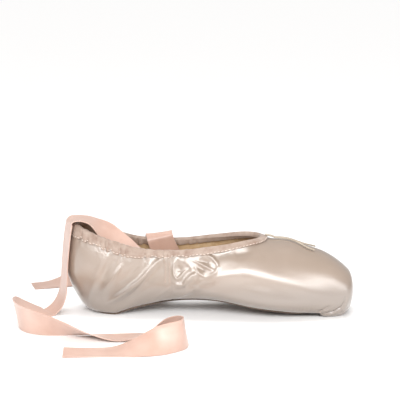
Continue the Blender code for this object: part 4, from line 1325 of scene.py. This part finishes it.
RIBBON_FAR = (
    (0.0880, 0.0244, 0.0300, 0, 24),
    (0.0850, 0.0243, 0.0370, 0, 24),
    (0.0818, 0.0214, 0.0440, 0, 23),
    (0.0788, 0.0196, 0.0510, 0, 20),
    (0.0770, 0.0190, 0.0570, 0, 14),
    (0.0758, 0.0236, 0.0602, 0, 8),
    (0.0752, 0.0280, 0.0578, 0, 6),
    (0.0746, 0.0294, 0.0510, 0, 6),
    (0.0738, 0.0301, 0.0420, 0, 5),
    (0.0730, 0.0306, 0.0310, 0, 4),
    (0.0722, 0.0314, 0.0200, 0, 3),
    (0.0714, 0.0334, 0.0110, 0, 2),
    (0.0706, 0.0382, 0.0042, 0, 2),
    (0.0705, 0.0480, 0, -3, 4),
    (0.0725, 0.0590, 0, -14, 16),
    (0.0785, 0.0695, 0, -36, 40),
    (0.0900, 0.0775, 0, -62, 60),
    (0.1060, 0.0805, 0, -84, 58),
    (0.1240, 0.0790, 0, -93, 34),
    (0.1430, 0.0778, 0, -88, 22),
    (0.1610, 0.0800, 0, -74, 50),
    (0.1745, 0.0885, 0, -34, 76),
    (0.1755, 0.1010, 0, 24, 78),
    (0.1640, 0.1100, 0, 66, 68),
    (0.1460, 0.1125, 0, 90, 36),
    (0.1260, 0.1115, 0, 95, 8),
    (0.1060, 0.1100, 0, 93, 0),
    (0.0860, 0.1095, 0, 88, 14),
    (0.0670, 0.1105, 0, 87, 44),
    (0.0480, 0.1100, 0, 98, 62),
    (0.0290, 0.1050, 0, 112, 62),
    (0.0115, 0.0965, 0, 118, 46),
    (-0.0055, 0.0875, 0, 115, 20),
    (-0.0230, 0.0800, 0, 110, 3),
    (-0.0400, 0.0745, 0, 106, 0),
)


def ribbon_frames(route, steps):
    """Centre, width direction and face direction along a ribbon. What lies on the floor rests on its edge."""
    half, thick = 0.5 * RIBBON_WIDTH, 0.5 * RIBBON_THICKNESS
    rows = []
    for x, y, z, compass, rise in curve_through(route, steps):
        compass, rise = math.radians(compass), math.radians(rise)
        level = math.cos(rise)
        width = Vector((math.cos(compass) * level, math.sin(compass) * level, math.sin(rise)))
        rows.append((Vector((x, y, max(z, half * abs(width.z)))), width))
    frames = []
    for k, (centre, width) in enumerate(rows):
        along = (rows[min(k + 1, len(rows) - 1)][0] - rows[max(k - 1, 0)][0]).normalized()
        across = (width - along * width.dot(along)).normalized()
        face = along.cross(across)
        rest = half * abs(across.z) + thick * abs(face.z) + CLEARANCE
        frames.append((Vector((centre.x, centre.y, max(centre.z, rest))), across, face))
    return frames


RIBBON_STEPS = 10
RIBBON_SHARES = (-1.0, -0.97, -0.93, -0.90, -0.7, -0.45, -0.2, 0.0, 0.2, 0.45, 0.7, 0.90, 0.93, 0.97, 1.0)
SELVEDGE_FROM = 0.92
CLOTH_HALF_THICK = 0.00026
SELVEDGE_HALF_THICK = 0.00036
CUPPING = 0.00018
CUPPING_TURN = 0.11  # radians from one ring to the next


def ribbon(name, route, finish):
    """A thin flat strip with a thicker selvedge along both edges and a little cupping."""
    frames = ribbon_frames(route, RIBBON_STEPS)
    half = 0.5 * RIBBON_WIDTH
    rings = []
    for k, (centre, across, face) in enumerate(frames):
        cup = CUPPING * math.sin(k * CUPPING_TURN)
        top, bottom = [], []
        for share in RIBBON_SHARES:
            thick = CLOTH_HALF_THICK if abs(share) < SELVEDGE_FROM else SELVEDGE_HALF_THICK
            middle = centre + across * half * share + face * cup * (1 - share * share)
            top.append(middle + face * thick)
            bottom.append(middle - face * thick)
        rings.append(top + bottom[::-1])
    rings = np.array(rings)
    shell = Shell()
    closed = np.concatenate([rings, rings[:, :1]], axis=1)
    shell.grid(closed, 0, False)
    for ring, flip in ((rings[0], False), (rings[-1], True)):
        count = len(RIBBON_SHARES)
        strip = np.stack([ring[:count], ring[:count - 1:-1]], axis=1)
        shell.grid(strip, 0, flip)
    made = shell.made(name, [finish], doubles=1e-7)
    return made, [centre for centre, _, _ in frames]


# Satin ribbon, peach pink: smooth and thin, with a softer gloss than the shoe's satin
ribbon_satin = cloth("ribbon_satin", ((0.30, "BC9888"), (0.50, "C5A495"), (0.70, "CDAFA1")), roughness=0.38,
                     weave=0.0005, bump=0.08, sheen=0.2, coat=0.15, patches=30.0)
for name, route in (("ribbon_near", RIBBON_NEAR), ("ribbon_far", RIBBON_FAR)):
    strip, line = ribbon("satin_" + name, route, ribbon_satin)
    line = [tuple(point - Vector((0.5 * SHOE_LENGTH, 0, 0))) for point in line]
    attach(strip, "root")
    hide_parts(name)

# Camera, light and floor
# The camera stands where the photograph's did, with its lens. Four soft lights stand in front and to the
# sides, a broad one shines from above, and the shoe stands on white paper that runs out to the horizon.
LENS = 109.62
SENSOR_WIDTH = 36.0
FARTHEST_SEEN = 200.0
CAMERA_PLACE = (0.01004311, -0.98402639, 0.26608302)
CAMERA_LOOKS = (-0.01718727, 0.98465776, -0.17364818)
camera_data = bpy.data.cameras.new("camera")
camera_data.lens = LENS
camera_data.sensor_width = SENSOR_WIDTH
camera_data.clip_end = FARTHEST_SEEN
camera = bpy.data.objects.new("camera", camera_data)
camera.location = CAMERA_PLACE
camera.rotation_euler = Vector(CAMERA_LOOKS).to_track_quat("-Z", "Y").to_euler()
bpy.context.scene.collection.objects.link(camera)
bpy.context.scene.camera = camera

SOFT_LIGHTS = (
    # name, place, aim, width, height, watts
    ("key", (-0.05, -0.92, 0.56), (0.0, 0.0, 0.03), 0.90, 0.33, 8.6),
    ("vamp", (0.60, -0.84, 0.45), (0.05, 0.0, 0.03), 0.50, 0.24, 2.7),
    ("toe", (0.98, -0.60, 0.25), (0.08, 0.0, 0.03), 0.35, 0.24, 1.4),
    ("heel", (-0.78, -0.72, 0.55), (-0.04, 0.0, 0.03), 0.5, 0.20, 2.5),
)
SKY_STRENGTH = 2.3
SKY_ANGLE = math.radians(50)
SKY_SHINES = (0.1, -0.35, -1.0)
ROOM_COLOUR = "F6F4F2"
ROOM_STRENGTH = 0.4


def hang_light(light, direction, place=(0.0, 0.0, 0.0)):
    """Puts a light in the scene, shining in a direction."""
    holder = bpy.data.objects.new(light.name, light)
    holder.location = place
    holder.rotation_euler = direction.to_track_quat("-Z", "Y").to_euler()
    bpy.context.scene.collection.objects.link(holder)
    return holder


for name, place, aim, width, height, watts in SOFT_LIGHTS:
    light = bpy.data.lights.new(name, "AREA")
    light.shape = "RECTANGLE"
    light.size = width
    light.size_y = height
    light.energy = watts
    hang_light(light, Vector(aim) - Vector(place), place)
sky = bpy.data.lights.new("sky", "SUN")
sky.energy = SKY_STRENGTH
sky.angle = SKY_ANGLE
# It lights the cloth, but reflections show only the soft lights and the room
hang_light(sky, Vector(SKY_SHINES)).visible_glossy = False
world = bpy.data.worlds.new("studio")
world.use_nodes = True
room = world.node_tree.nodes["Background"]
room.inputs["Color"].default_value = linear(ROOM_COLOUR)
room.inputs["Strength"].default_value = ROOM_STRENGTH
bpy.context.scene.world = world
bpy.context.scene.view_settings.view_transform = "Standard"

FLOOR_HALF = 60.0
PAPER_ROUGHNESS = 0.9
floor_corners = [(x * FLOOR_HALF, y * FLOOR_HALF, 0) for x, y in ((-1, -1), (1, -1), (1, 1), (-1, 1))]
floor_mesh = bpy.data.meshes.new("floor")
floor_mesh.from_pydata(floor_corners, [], [(0, 1, 2, 3)])
floor = bpy.data.objects.new("floor", floor_mesh)
# Matt white paper
paper, _, paper_shader = new_material("white_paper")
paper_shader.inputs["Base Color"].default_value = linear("FEFEFE")
paper_shader.inputs["Roughness"].default_value = PAPER_ROUGHNESS
floor_mesh.materials.append(paper)
bpy.context.scene.collection.objects.link(floor)
